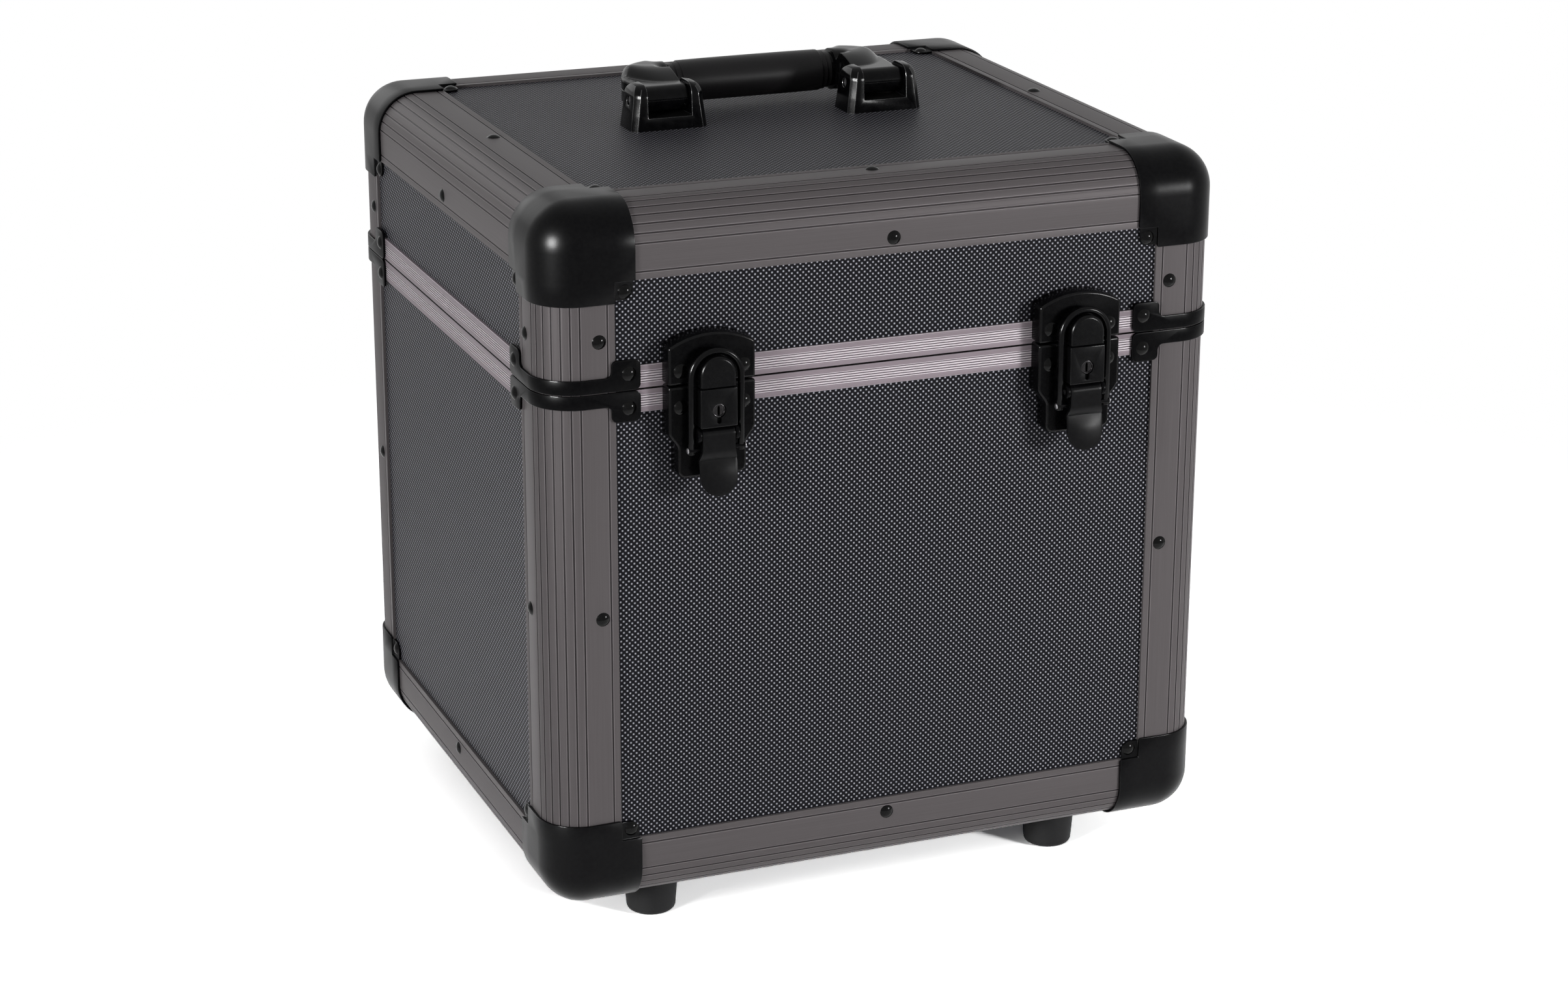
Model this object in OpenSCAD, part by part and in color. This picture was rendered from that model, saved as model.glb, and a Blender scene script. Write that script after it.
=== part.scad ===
// Record carrying case: laminated panels in rounded aluminium edge profiles, ball corner caps,
// corner braces at the parting line, two key-locking drawbolt latches, a folding handle and four feet.
// X runs along the front, the front looks along -Y, and Z is up from the floor.

/* [Case] */
// Width over the edge profiles
case_w = 380; // [340:5:480]
// Depth over the edge profiles
case_d = 340; // [320:5:440]
// Height over the edge profiles, without feet and handle
case_h = 380; // [340:5:440]
// Height of the lid, from the parting line to the top
lid_h = 95; // [80:1:130]
// Gap between lid and body when shut
parting_gap = 0.4; // [0.2:0.1:1]
// Thickness of the laminated board panels
panel_t = 7; // [5:0.5:9]

/* [Edge profiles] */
// Width of a profile on each face
profile_leg = 38; // [34:1:44]
// Outer radius of the rounded edge
profile_r = 22; // [19:1:25]
// Wall thickness of the extrusion
profile_t = 1.6; // [1.2:0.1:2.2]
// Reach of the inner angle from the outer corner
inner_leg = 32; // [28:1:33]
// Number of grooves round the edge
groove_count = 7; // [3:1:9]
// Width of a groove
groove_w = 0.9; // [0.5:0.1:1.4]
// Depth of a groove
groove_d = 0.4; // [0.2:0.1:0.7]
// Distance of the single line from the inner edge of a flange
line_inset = 4.4; // [3:0.2:5]
// Clearance of each profile end from the rounded corner
corner_relief = 2; // [1:0.5:4]

/* [Parting rims] */
// Height of each rim on the outside
rim_h = 12.3; // [10.5:0.1:14]
// Thickness of the web over the edge of a panel
rim_web = 1.5; // [1:0.1:2.5]
// Number of lines along a rim
rim_line_count = 6; // [3:1:7]
// Width of a line
rim_line_w = 0.7; // [0.4:0.1:0.9]
// Depth of a line
rim_line_d = 0.35; // [0.2:0.05:0.6]
// Height of the tongue on the body rim
tongue_h = 3; // [2:0.5:3.5]
// Thickness of the tongue at its root
tongue_t = 1.5; // [1:0.1:2]
// Clearance between tongue and groove
tongue_clearance = 0.4; // [0.3:0.1:0.8]

/* [Corner caps] */
// Reach of a cap from the outer faces
cap_reach = 49; // [46:1:54]
// Thickness of the pressed steel
cap_t = 1.5; // [1:0.1:2]
// Rounding of a tab
cap_tab_round = 5; // [2:0.5:5]
// Distance of a tab's rivet from the outer faces
cap_rivet_inset = 43.5; // [43:0.1:44]

/* [Corner braces] */
// Height of the band round the edge
brace_band_h = 7.4; // [5:0.1:9]
// Reach of a brace from the outer faces
brace_reach = 51; // [49:1:54]
// Width of the ear at each end
brace_ear_w = 15.5; // [13:0.5:17]
// Height of an ear
brace_ear_h = 16; // [13:0.5:20]
// Rounding of an ear
brace_round = 3; // [1.5:0.5:5]
// Thickness of the strip
brace_t = 1.5; // [1:0.1:2]
// Clearance of the ends of lid and body braces from the parting line
brace_clearance = 0.3; // [0.1:0.1:1]

/* [Rivets] */
// Radius of a domed head
rivet_head_r = 3.8; // [3:0.1:4.5]
// Height of a domed head
rivet_head_h = 2.2; // [1:0.1:2.8]
// Radius of a shank
rivet_shank_r = 2; // [1.5:0.1:2.4]
// Depth of a shank in the panel
rivet_bite = 4.5; // [2:0.5:4.5]
// Distance of profile rivets from the outer corner
profile_rivet_inset = 29.5; // [28:0.5:31]

/* [Feet] */
// Height of a foot
foot_h = 26; // [20:1:34]
// Radius at the top
foot_top_r = 15.5; // [13:0.5:18]
// Radius at the floor
foot_base_r = 13.5; // [11:0.5:15]
// Rounding at the floor
foot_round = 3; // [1:0.5:4]
// Distance of the feet from the sides
foot_side_inset = 70; // [66:1:100]
// Distance of the feet from front and back
foot_inset = 45.5; // [45:0.5:60]
// Radius of the well for the screw
foot_well_r = 6.2; // [5.8:0.1:7]
// Depth of the well
foot_well_h = 15; // [10:1:17]

/* [Handle] */
// Distance of the brackets from the middle of the case
bracket_x = 63.6; // [60:0.2:75]
// Width of a bracket at its foot
bracket_w = 44; // [42:0.5:46]
// Depth of a bracket at its foot
bracket_d = 24; // [21:0.5:28]
// Lean of each side of a bracket up to its shoulder
bracket_lean = 2.4; // [1.5:0.1:3]
// Lean of front and back of a bracket up to its shoulder
bracket_slope = 1.4; // [0.5:0.1:2]
// Height of a bracket's shoulder
bracket_shoulder_h = 19.6; // [18:0.1:21]
// Rounding of a bracket above its shoulder
bracket_round = 5; // [3:0.1:5.2]
// Chamfer at the upright corners of a bracket's foot
bracket_chamfer = 3; // [2:0.5:4]
// Width of the slot for the arm
bracket_slot_w = 25.3; // [20:0.1:26]
// Height of the slot's floor
bracket_floor_h = 7; // [5:0.1:7]
// Height of the handle's pivot above the lid panel
handle_pivot_h = 15.5; // [15.5:0.1:17]
// Radius of the knuckle of an arm
knuckle_r = 7; // [6:0.1:7.5]
// Clearance between an arm and its bracket
arm_clearance = 0.3; // [0.2:0.1:0.8]
// Radius of the outer curve of an arm
elbow_r = 26; // [24:0.5:28]
// Radius of the dish in the top and the underside of an arm
dish_r = 40; // [30:1:60]
// Depth of the dish
dish_depth = 3; // [1:0.1:4]
// Distance of the grip from the pivot
grip_reach = 37.5; // [34:0.5:45]
// Radius of the grip
grip_r = 11.5; // [10:0.1:12]
// Length of the grip
grip_len = 96; // [90:1:100]
// Length of the ring at each end of the grip
grip_ring_len = 3; // [2:0.5:5]
// Length of the collar between grip and arm
collar_len = 2; // [1:0.5:3]
// Radius of the pivot pin
handle_pin_r = 2.5; // [2:0.1:3]

/* [Latches] */
// Distance of the latches from the sides
latch_inset = 86.5; // [78:0.5:110]
// Width of keeper and base
latch_w = 47; // [45:0.5:49]
// Distance of their fronts from the face of the case
latch_rise = 9.5; // [8:0.5:11]
// Thickness of the pressed steel
latch_sheet = 1.5; // [1:0.1:1.8]
// Height of the keeper
keeper_h = 26.2; // [25:0.2:30]
// Radius of the keeper's arched top
keeper_arch_r = 35; // [32:1:60]
// Distance of the keeper's lower edge above the parting line
keeper_offset = 2.4; // [2:0.1:3]
// Height of the base
base_h = 49; // [46:0.5:51]
// Step of the base's sides where they narrow
base_step = 5; // [3:0.5:6]
// Height of the wide part of the base
base_wide_h = 24; // [20:0.5:26]
// Height over which the sides narrow
base_taper_h = 10; // [8:0.5:14]
// Distance between the rivets of keeper and base
latch_rivet_span = 34; // [32:0.5:36]
// Width of the key housing
key_box_w = 20; // [18:0.2:20.5]
// Height of the key housing
key_box_h = 20.5; // [18:0.1:20.8]
// Distance of the key housing's front from the face of the case
latch_reach = 19.5; // [19:0.1:21]
// Radius of the lock cylinder
cylinder_r = 3.7; // [3:0.1:4.2]
// Distance of the lock cylinder below the parting line
key_drop = 10; // [9:0.1:10.4]
// Radial clearance of pins, shafts and the lock cylinder
running_clearance = 0.05; // [0.02:0.01:0.09]
// Distance of the lever's pin below the parting line
lever_drop = 23.3; // [23:0.1:25]
// Distance of the lever's pin from the face of the case
lever_pin_rise = 15.5; // [15:0.1:15.7]
// Radius of the lever's pin
lever_pin_r = 1.5; // [1:0.1:1.8]
// Radius of the lever's knuckle
lever_knuckle_r = 3.6; // [3:0.1:3.7]
// Width of the lever at its knuckle
lever_w = 17.6; // [16:0.2:18.4]
// Width of the finger tab
tab_w = 20.5; // [17:0.5:21]
// Length of the finger tab from the pin
tab_len = 32; // [31:0.5:36]
// Length of the lever's shoulders, where it widens to the tab
shoulder_h = 7; // [5:0.5:8]
// Thickness of the lever's steel
lever_t = 1.4; // [1:0.1:1.7]
// Radius of the bail's wire
wire_r = 1.8; // [1.4:0.1:2]
// Distance of each leg of the bail from the middle of the latch
bail_half_w = 13.5; // [13.4:0.1:14.5]
// Distance of the bail's pivot below the lever's pin
bail_drop = 7.7; // [7.4:0.1:8.5]
// Distance of the bail's pivot behind the lever's pin
bail_set_back = 0.5; // [0.3:0.1:0.8]
// Play between bail and catch when shut
bail_play = 0.3; // [0.3:0.1:0.8]
// Half width of the catch
catch_r = 9.7; // [8:0.1:10.5]
// Height of the catch's top above the parting line
catch_top = 18.3; // [17:0.1:19]

/* [Hinges] */
// Distance of the hinges from the sides
hinge_inset = 90; // [86:1:120]
// Width of a hinge
hinge_w = 56; // [50:1:62]
// Height of a leaf
hinge_leaf_h = 27; // [24:0.5:34]
// Thickness of a leaf
hinge_t = 1.8; // [1.4:0.1:2.2]
// Radius of the knuckles
hinge_knuckle_r = 4; // [3.6:0.1:4.2]
// Radius of the hinge pin
hinge_pin_r = 2; // [1.5:0.1:2.4]
// Reach of the stop lugs behind the pin
stop_len = 6.7; // [6:0.1:8]
// Opening angle at which the stop lugs land on the body leaf
lid_open = 95; // [92:1:100]

/* [Lining] */
// Thickness of the foam lining
lining_t = 2.5; // [1:0.5:4]
// Gap between the lining and the inner angles
lining_gap = 0.3; // [0.1:0.1:1]

/* [Hidden] */
$fn = 64;
eps = 1;
seat_gap = 0.05;
rivet_clearance = 0.05;
knuckle_gap = 0.3;

half_w = case_w / 2;
half_d = case_d / 2;
foot_x = half_w - foot_side_inset;
latch_x = half_w - latch_inset;
hinge_x = half_w - hinge_inset;
parting_z = case_h - lid_h;
half_gap = parting_gap / 2;
panel_in = profile_t + panel_t;
corner_cut = profile_r + corner_relief;
slot_top = tongue_h + 0.6;
channel_h = slot_top + rim_web;
tongue_u = panel_in / 2 + 0.3;
tab_sink = profile_t - cap_t - seat_gap;
hinge_axis_out = hinge_knuckle_r + knuckle_gap;
leaf_edge = hinge_knuckle_r + 0.6;
back_reach = hinge_axis_out + stop_len;
frame_shift = (latch_reach - back_reach) / 2;
knuckle_count = 5;
lever_z = parting_z - lever_drop;
bail_pivot_y = -lever_drop - bail_drop;
bail_arch_y = catch_top + bail_play + wire_r - bail_half_w;
bail_rise = lever_pin_rise - bail_set_back;
lug_gap = 0.4;
lug_t = bail_half_w - wire_r - lever_w / 2 - 2 * lug_gap;
shank_depth = profile_t + rivet_bite;
screw_r = 2.2;

FRONT = [0, -1, 0];
BACK = [0, 1, 0];
DOWN = [0, 0, -1];
UP = [0, 0, 1];

// Rivet places are [point on the outer face, direction of the head, height of its seat above that face]
function on_wall(sx, sy, inset, z, seat) = [
    [[sx * (half_w - inset), sy * half_d, z], [0, sy, 0], seat],
    [[sx * half_w, sy * (half_d - inset), z], [sx, 0, 0], seat]
];
function post_rivets(z) = [for (sx = [-1, 1], sy = [-1, 1]) each on_wall(sx, sy, profile_rivet_inset, z, 0)];
function brace_rivets(z) = [for (sx = [-1, 1], sy = [-1, 1]) each
    on_wall(sx, sy, brace_reach - brace_ear_w / 2 + 1.5, z, brace_t + seat_gap)];
function edge_rivets(z_flange, z_face, out) = [
    for (s = [-1, 1]) each [
        [[0, s * half_d, z_flange], [0, s, 0], 0],
        [[s * half_w, 0, z_flange], [s, 0, 0], 0],
        [[0, s * (half_d - profile_rivet_inset), z_face], out, 0],
        [[s * (half_w - profile_rivet_inset), 0, z_face], out, 0]
    ]
];
function cap_rivets(z_flange, z_face, out) = [
    for (sx = [-1, 1], sy = [-1, 1]) each concat(
        on_wall(sx, sy, cap_rivet_inset, z_flange, -tab_sink),
        [[[sx * (half_w - cap_rivet_inset), sy * (half_d - cap_rivet_inset), z_face], out, -tab_sink]]
    )
];
function latch_rivets(z) = [
    for (side = [-1, 1], k = [-1, 1])
        [[side * latch_x + k * latch_rivet_span / 2, -half_d, z], FRONT, latch_rise]
];
function hinge_rivets(z) = [
    for (side = [-1, 1], k = [-1, 0, 1])
        [[side * hinge_x + k * hinge_w * 0.36, half_d, z], BACK, hinge_t]
];

brace_rivet_drop = brace_clearance + brace_ear_h / 2 + 0.7;
keeper_rivet_y = rim_h - rivet_shank_r - 0.5;
base_rivet_y = -9.3;
hinge_rivet_drop = (rim_h + hinge_leaf_h) / 2;
body_post_rivet_z = (cap_reach + parting_z - brace_band_h) / 2;
lid_post_rivet_z = (parting_z + brace_band_h + case_h - cap_reach) / 2;

body_spots = concat(
    post_rivets(body_post_rivet_z),
    edge_rivets(profile_rivet_inset, 0, DOWN),
    cap_rivets(cap_rivet_inset, 0, DOWN),
    brace_rivets(parting_z - brace_rivet_drop),
    latch_rivets(parting_z + base_rivet_y),
    hinge_rivets(parting_z - hinge_rivet_drop)
);
lid_spots = concat(
    post_rivets(lid_post_rivet_z),
    edge_rivets(case_h - profile_rivet_inset, case_h, UP),
    cap_rivets(case_h - cap_rivet_inset, case_h, UP),
    brace_rivets(parting_z + brace_rivet_drop),
    latch_rivets(parting_z + keeper_rivet_y),
    hinge_rivets(parting_z + hinge_rivet_drop)
);

// Frames
module case_frame() translate([0, frame_shift, foot_h]) children();

module mirrored(sx, sy, sz)
    mirror([sx > 0 ? 1 : 0, 0, 0]) mirror([0, sy > 0 ? 1 : 0, 0]) mirror([0, 0, sz > 0 ? 1 : 0])
        children();

module at_corner(sx, sy, sz)
    translate([sx * half_w, sy * half_d, sz > 0 ? case_h : 0]) mirrored(sx, sy, sz) children();

module on_front(x) translate([x, -half_d, parting_z]) rotate([90, 0, 0]) children();

module on_back(x) translate([x, half_d, parting_z]) children();

module on_lid() translate([0, 0, case_h - profile_t]) children();

function aim(n) = n.x != 0 ? [0, n.x * 90, 0] : n.y != 0 ? [-n.y * 90, 0, 0] : [n.z < 0 ? 180 : 0, 0, 0];

// Rivets
module rivet_holes(spots)
    for (s = spots) translate(s[0]) rotate(aim(s[1])) translate([0, 0, -shank_depth - 0.2])
        cylinder(r = rivet_shank_r + rivet_clearance, h = shank_depth + 0.2 + s[2] + eps);

module rivet(seat) {
    dome_r = (rivet_head_r * rivet_head_r + rivet_head_h * rivet_head_h) / (2 * rivet_head_h);
    translate([0, 0, seat]) rotate_extrude() intersection() {
        translate([0, rivet_head_h - dome_r]) circle(dome_r);
        square([rivet_head_r, rivet_head_h + eps]);
    }
    translate([0, 0, -shank_depth]) cylinder(r = rivet_shank_r, h = shank_depth + seat);
}

module rivets(spots)
    color([0.05, 0.05, 0.05]) case_frame()
        for (s = spots) translate(s[0]) rotate(aim(s[1])) rivet(s[2]);

// Panels
function facing(spots, n) = [for (s = spots) if (s[1] == n) s];

module panel(low, size, spots)
    color([0.17, 0.17, 0.2]) case_frame() difference() {
        translate(low) cube(size);
        rivet_holes(spots);
    }

wall_w = case_w - 2 * profile_r;
wall_d = case_d - 2 * profile_r;
body_wall_h = parting_z - half_gap - rim_web - profile_r;
lid_wall_z = parting_z + half_gap + channel_h;
lid_wall_h = case_h - profile_r - lid_wall_z;

module front_wall(y, z, h, n, spots)
    panel([-wall_w / 2, y, z], [wall_w, panel_t, h], facing(spots, n));

module side_wall(x, z, h, n, spots)
    panel([x, -wall_d / 2, z], [panel_t, wall_d, h], facing(spots, n));

module floor_wall(z, n, spots)
    panel([-wall_w / 2, -wall_d / 2, z], [wall_w, wall_d, panel_t], facing(spots, n));

module front_panel() front_wall(-half_d + profile_t, profile_r, body_wall_h, FRONT, body_spots);
module back_panel() front_wall(half_d - panel_in, profile_r, body_wall_h, BACK, body_spots);
module left_panel() side_wall(-half_w + profile_t, profile_r, body_wall_h, [-1, 0, 0], body_spots);
module right_panel() side_wall(half_w - panel_in, profile_r, body_wall_h, [1, 0, 0], body_spots);
module lid_front_panel() front_wall(-half_d + profile_t, lid_wall_z, lid_wall_h, FRONT, lid_spots);
module lid_back_panel() front_wall(half_d - panel_in, lid_wall_z, lid_wall_h, BACK, lid_spots);
module lid_left_panel() side_wall(-half_w + profile_t, lid_wall_z, lid_wall_h, [-1, 0, 0], lid_spots);
module lid_right_panel() side_wall(half_w - panel_in, lid_wall_z, lid_wall_h, [1, 0, 0], lid_spots);

module bottom_panel() difference() {
    floor_wall(profile_t, DOWN, body_spots);
    case_frame() at_feet() cylinder(r = screw_r + rivet_clearance, h = shank_depth + 0.2);
}

module top_panel() difference() {
    floor_wall(case_h - panel_in, UP, lid_spots);
    case_frame() on_lid() at_bracket_screws() translate([0, 0, -panel_t - eps])
        cylinder(r = screw_r + rivet_clearance, h = panel_t + 2 * eps);
}

// Edge profiles: a hollow rounded nose, two flanges outside the panels and an angle inside them
module profile_section() difference() {
    union() {
        intersection() {
            translate([profile_r, profile_r]) difference() {
                circle(profile_r);
                circle(profile_r - profile_t);
            }
            square(profile_r);
        }
        for (k = [0, 1]) mirror([k, -k]) {
            translate([profile_r, 0]) square([profile_leg - profile_r, profile_t]);
            translate([profile_r - profile_t, profile_t / 2])
                square([profile_t, panel_in + profile_t / 2]);
            translate([panel_in, panel_in]) square([inner_leg - panel_in, profile_t]);
        }
    }
    for (i = [0 : groove_count - 1])
        translate([profile_r, profile_r]) rotate(180 + (i + 0.5) * 90 / groove_count)
            translate([profile_r - groove_d, -groove_w / 2]) square([groove_d + eps, groove_w]);
    for (k = [0, 1]) mirror([k, -k])
        translate([profile_leg - line_inset, -eps]) square([groove_w, groove_d + eps]);
}

module mitre_cut() {
    side = profile_leg + eps;
    translate([0, side, 0]) rotate([90, 0, 0])
        linear_extrude(side + eps) polygon([[0, 0], [side, 0], [side, side]]);
    translate([-eps, 0, 0]) rotate([90, 0, 90])
        linear_extrude(side + eps) polygon([[0, 0], [side, 0], [side, side]]);
}

// A bar of profile along Z from the corner of the case, mitred at its start and, if asked, at its end
module bar(length, mitred_end, rivet_at) color([0.42, 0.40, 0.40]) difference() {
    translate([0, 0, corner_cut])
        linear_extrude(length - (mitred_end ? 2 : 1) * corner_cut) profile_section();
    mitre_cut();
    if (mitred_end) translate([0, 0, length]) mirror([0, 0, 1]) mitre_cut();
    for (k = [0, 1]) mirror([k, -k, 0]) translate([profile_rivet_inset, 0, rivet_at])
        rotate([90, 0, 0]) translate([0, 0, -panel_in + eps])
            cylinder(r = rivet_shank_r + rivet_clearance, h = panel_in);
}

module body_post(sx, sy) case_frame() at_corner(sx, sy, -1)
    bar(parting_z - half_gap, false, body_post_rivet_z);

module lid_posts() case_frame() for (sx = [-1, 1], sy = [-1, 1]) at_corner(sx, sy, 1)
    bar(lid_h - half_gap, false, case_h - lid_post_rivet_z);

module edge_along_x(sy, sz) case_frame() at_corner(-1, sy, sz)
    rotate(120, [1, 1, 1]) bar(case_w, true, half_w);

module edge_along_y(sx, sz) case_frame() at_corner(sx, -1, sz)
    rotate(240, [1, 1, 1]) bar(case_d, true, half_d);

// Parting rims, in a frame with X along the wall, Y into the case and Z up or down from the parting line
module rim_lines(length) for (i = [0 : rim_line_count - 1])
    translate([-length / 2 - eps, -eps, half_gap + (i + 1) * (rim_h - half_gap) / (rim_line_count + 1)
        - rim_line_w / 2]) cube([length + 2 * eps, rim_line_d + eps, rim_line_w]);

module rim_legs(span) difference() {
    union() {
        translate([-span / 2 + profile_leg, 0, half_gap])
            cube([span - 2 * profile_leg, profile_t, rim_h - half_gap]);
        translate([-span / 2 + inner_leg, panel_in, half_gap])
            cube([span - 2 * inner_leg, profile_t, rim_h - half_gap]);
    }
    rim_lines(span);
}

module body_rim(span) {
    mirror([0, 0, 1]) rim_legs(span);
    translate([-span / 2 + profile_r, profile_t, -half_gap - rim_web])
        cube([span - 2 * profile_r, panel_t, rim_web]);
    translate([-span / 2 + profile_r + tongue_clearance, tongue_u, -half_gap])
        rotate([90, 0, 90]) linear_extrude(span - 2 * profile_r - 2 * tongue_clearance)
            polygon([[-tongue_t / 2, 0], [tongue_t / 2, 0], [tongue_t / 4, tongue_h], [-tongue_t / 2, tongue_h]]);
}

module lid_rim(span) {
    rim_legs(span);
    translate([-span / 2 + profile_r, 0, half_gap]) difference() {
        translate([0, profile_t, 0]) cube([span - 2 * profile_r, panel_t, channel_h]);
        translate([-eps, tongue_u - tongue_t / 2 - tongue_clearance, -eps])
            cube([span, tongue_t + 2 * tongue_clearance, slot_top + eps]);
    }
}

module on_walls() {
    for (a = [0, 180]) translate([0, 0, parting_z]) rotate(a) translate([0, -half_d, 0]) children(0);
    for (a = [90, 270]) translate([0, 0, parting_z]) rotate(a) translate([0, -half_w, 0]) children(1);
}

module body_rims() color([0.62, 0.58, 0.6]) case_frame() difference() {
    on_walls() { body_rim(case_w); body_rim(case_d); }
    rivet_holes([for (s = body_spots) if (s[2] > 0) s]);
}

module lid_rims() color([0.62, 0.58, 0.6]) case_frame() difference() {
    on_walls() { lid_rim(case_w); lid_rim(case_d); }
    rivet_holes([for (s = lid_spots) if (s[2] > 0) s]);
}

// Ball corner caps, in the frame of a corner of the case
module quarter_ring(inner) intersection() {
    difference() {
        circle(inner + cap_t);
        circle(inner);
    }
    translate([-inner - 2 * cap_t, -inner - 2 * cap_t]) square(inner + 2 * cap_t);
}

module rounded_square(side, r) {
    square([side, side - r]);
    square([side - r, side]);
    translate([side - r, side - r]) circle(r);
}

module cap_side() {
    tab = cap_reach - profile_leg;
    translate([profile_r, profile_r, profile_r]) linear_extrude(cap_reach - profile_r)
        quarter_ring(profile_r + seat_gap);
    difference() {
        translate([profile_r, profile_r, -cap_t - seat_gap])
            cube([cap_reach - profile_r, cap_reach - profile_r, cap_t]);
        translate([profile_leg, profile_leg, -cap_t - seat_gap - eps]) cube([tab + eps, tab + eps, cap_t + 2 * eps]);
    }
    difference() {
        translate([profile_leg, profile_leg, -cap_t - seat_gap])
            linear_extrude(profile_t + cap_t) rounded_square(tab, cap_tab_round);
        translate([profile_leg + cap_t, profile_leg + cap_t, -cap_t - seat_gap - eps])
            cube([tab, tab, profile_t + eps]);
    }
}

module corner_cap() color([0.05, 0.05, 0.05]) difference() {
    union() {
        translate([profile_r, profile_r, profile_r]) rotate(180) rotate_extrude(angle = 90)
            intersection() {
                difference() {
                    circle(profile_r + seat_gap + cap_t);
                    circle(profile_r + seat_gap);
                }
                translate([0, -profile_r - 2 * cap_t]) square(profile_r + 2 * cap_t);
            }
        for (a = [0, 120, 240]) rotate(a, [1, 1, 1]) cap_side();
    }
    for (a = [0, 120, 240]) rotate(a, [1, 1, 1])
        translate([cap_rivet_inset, cap_rivet_inset, -3 * cap_t])
            cylinder(r = rivet_shank_r + rivet_clearance, h = 3 * cap_t + profile_t + eps);
}

module corner_caps(sz) case_frame() for (sx = [-1, 1], sy = [-1, 1]) at_corner(sx, sy, sz) corner_cap();

// Corner braces, in the frame of a vertical edge with Z away from the parting line
module brace() color([0.05, 0.05, 0.05]) difference() {
    union() {
        translate([profile_r, profile_r, brace_clearance]) linear_extrude(brace_band_h) difference() {
            circle(profile_r + seat_gap + brace_t);
            circle(profile_r + seat_gap);
            translate([0, -2 * profile_r]) square(4 * profile_r);
            translate([-2 * profile_r, 0]) square(4 * profile_r);
        }
        for (k = [0, 1]) mirror([k, -k, 0]) {
            translate([profile_r, -brace_t - seat_gap, brace_clearance])
                cube([brace_reach - profile_r - brace_round, brace_t, brace_band_h]);
            translate([brace_reach - brace_ear_w, -seat_gap, brace_clearance]) rotate([90, 0, 0])
                linear_extrude(brace_t) {
                    translate([0, brace_round]) square([brace_ear_w, brace_ear_h - 2 * brace_round]);
                    translate([brace_round, 0]) square([brace_ear_w - 2 * brace_round, brace_ear_h]);
                    square(brace_ear_w / 2);
                    for (p = [[brace_round, brace_ear_h - brace_round],
                              [brace_ear_w - brace_round, brace_ear_h - brace_round],
                              [brace_ear_w - brace_round, brace_round]])
                        translate(p) circle(brace_round);
                    polygon([[-brace_round, brace_band_h], [0, brace_band_h], [0, brace_band_h + brace_round]]);
                }
        }
    }
    for (k = [0, 1]) mirror([k, -k, 0])
        translate([brace_reach - brace_ear_w / 2 + 1.5, eps, brace_rivet_drop]) rotate([90, 0, 0])
            cylinder(r = rivet_shank_r + rivet_clearance, h = brace_t + 2 * eps);
}

module corner_braces(sz) case_frame() for (sx = [-1, 1], sy = [-1, 1])
    translate([sx * half_w, sy * half_d, parting_z]) mirrored(sx, sy, -sz) brace();

// Linings
module lining(z, h, open_up) {
    out = panel_in + profile_t + lining_gap;
    in = out + lining_t;
    color([0.1, 0.1, 0.11]) case_frame() difference() {
        translate([-half_w + out, -half_d + out, z]) cube([case_w - 2 * out, case_d - 2 * out, h]);
        translate([-half_w + in, -half_d + in, open_up ? z + lining_t : z - eps])
            cube([case_w - 2 * in, case_d - 2 * in, h - lining_t + eps]);
    }
}

module body_lining() {
    z = panel_in + profile_t + lining_gap;
    lining(z, parting_z - rim_web - z, true);
}

module lid_lining() {
    z = parting_z + rim_web;
    lining(z, case_h - panel_in - profile_t - lining_gap - z, false);
}

// Feet
module at_feet() for (sx = [-1, 1], sy = [-1, 1])
    translate([sx * foot_x, sy * (half_d - foot_inset), 0]) children();

module feet() color([0.06, 0.06, 0.06]) case_frame() at_feet() difference() {
    union() {
        translate([0, 0, -foot_h]) rotate_extrude() {
            polygon([[0, 0], [foot_base_r - foot_round, 0], [foot_base_r, foot_round],
                     [foot_top_r, foot_h - foot_round], [foot_top_r, foot_h], [0, foot_h]]);
            intersection() {
                translate([foot_base_r - foot_round, foot_round]) circle(foot_round);
                square(foot_base_r);
            }
        }
        cylinder(r = foot_inset - profile_leg - 1, h = profile_t);
    }
    translate([0, 0, -foot_h - eps]) cylinder(r = foot_well_r, h = foot_well_h + eps);
    translate([0, 0, -foot_h]) cylinder(r = screw_r + rivet_clearance, h = foot_h + 2 * profile_t);
}

module foot_screws() color([0.5, 0.5, 0.52]) case_frame() at_feet() {
    translate([0, 0, -foot_h + foot_well_h - 2.5]) difference() {
        cylinder(r = foot_well_r - 0.7, h = 2.5);
        for (a = [0, 90]) rotate(a) translate([-3, -0.6, -eps]) cube([6, 1.2, 1.4 + eps]);
    }
    translate([0, 0, -foot_h + foot_well_h]) cylinder(r = screw_r, h = foot_h - foot_well_h + shank_depth);
}

// Handle, in the frame of the lid panel's middle with the pivot along X
module at_bracket_screws() for (sx = [-1, 1], k = [-1, 1])
    translate([sx * bracket_x + k * (bracket_slot_w / 2 - 4), 0, 0]) children();

// A bracket's outline from one side: an upright that leans in up to its shoulder, rounded above it
module bracket_outline(half, lean) {
    top = half - lean;
    polygon([[-half, 0], [half, 0], [top, bracket_shoulder_h], [-top, bracket_shoulder_h]]);
    for (s = [-1, 1]) translate([s * (top - bracket_round), bracket_shoulder_h]) circle(bracket_round);
    translate([bracket_round - top, 0])
        square([2 * (top - bracket_round), bracket_shoulder_h + bracket_round]);
}

module bracket_foot() {
    x = bracket_w / 2;
    y = bracket_d / 2;
    c = bracket_chamfer;
    polygon([[c - x, -y], [x - c, -y], [x, c - y], [x, y - c], [x - c, y], [c - x, y], [-x, y - c], [-x, c - y]]);
}

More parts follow.
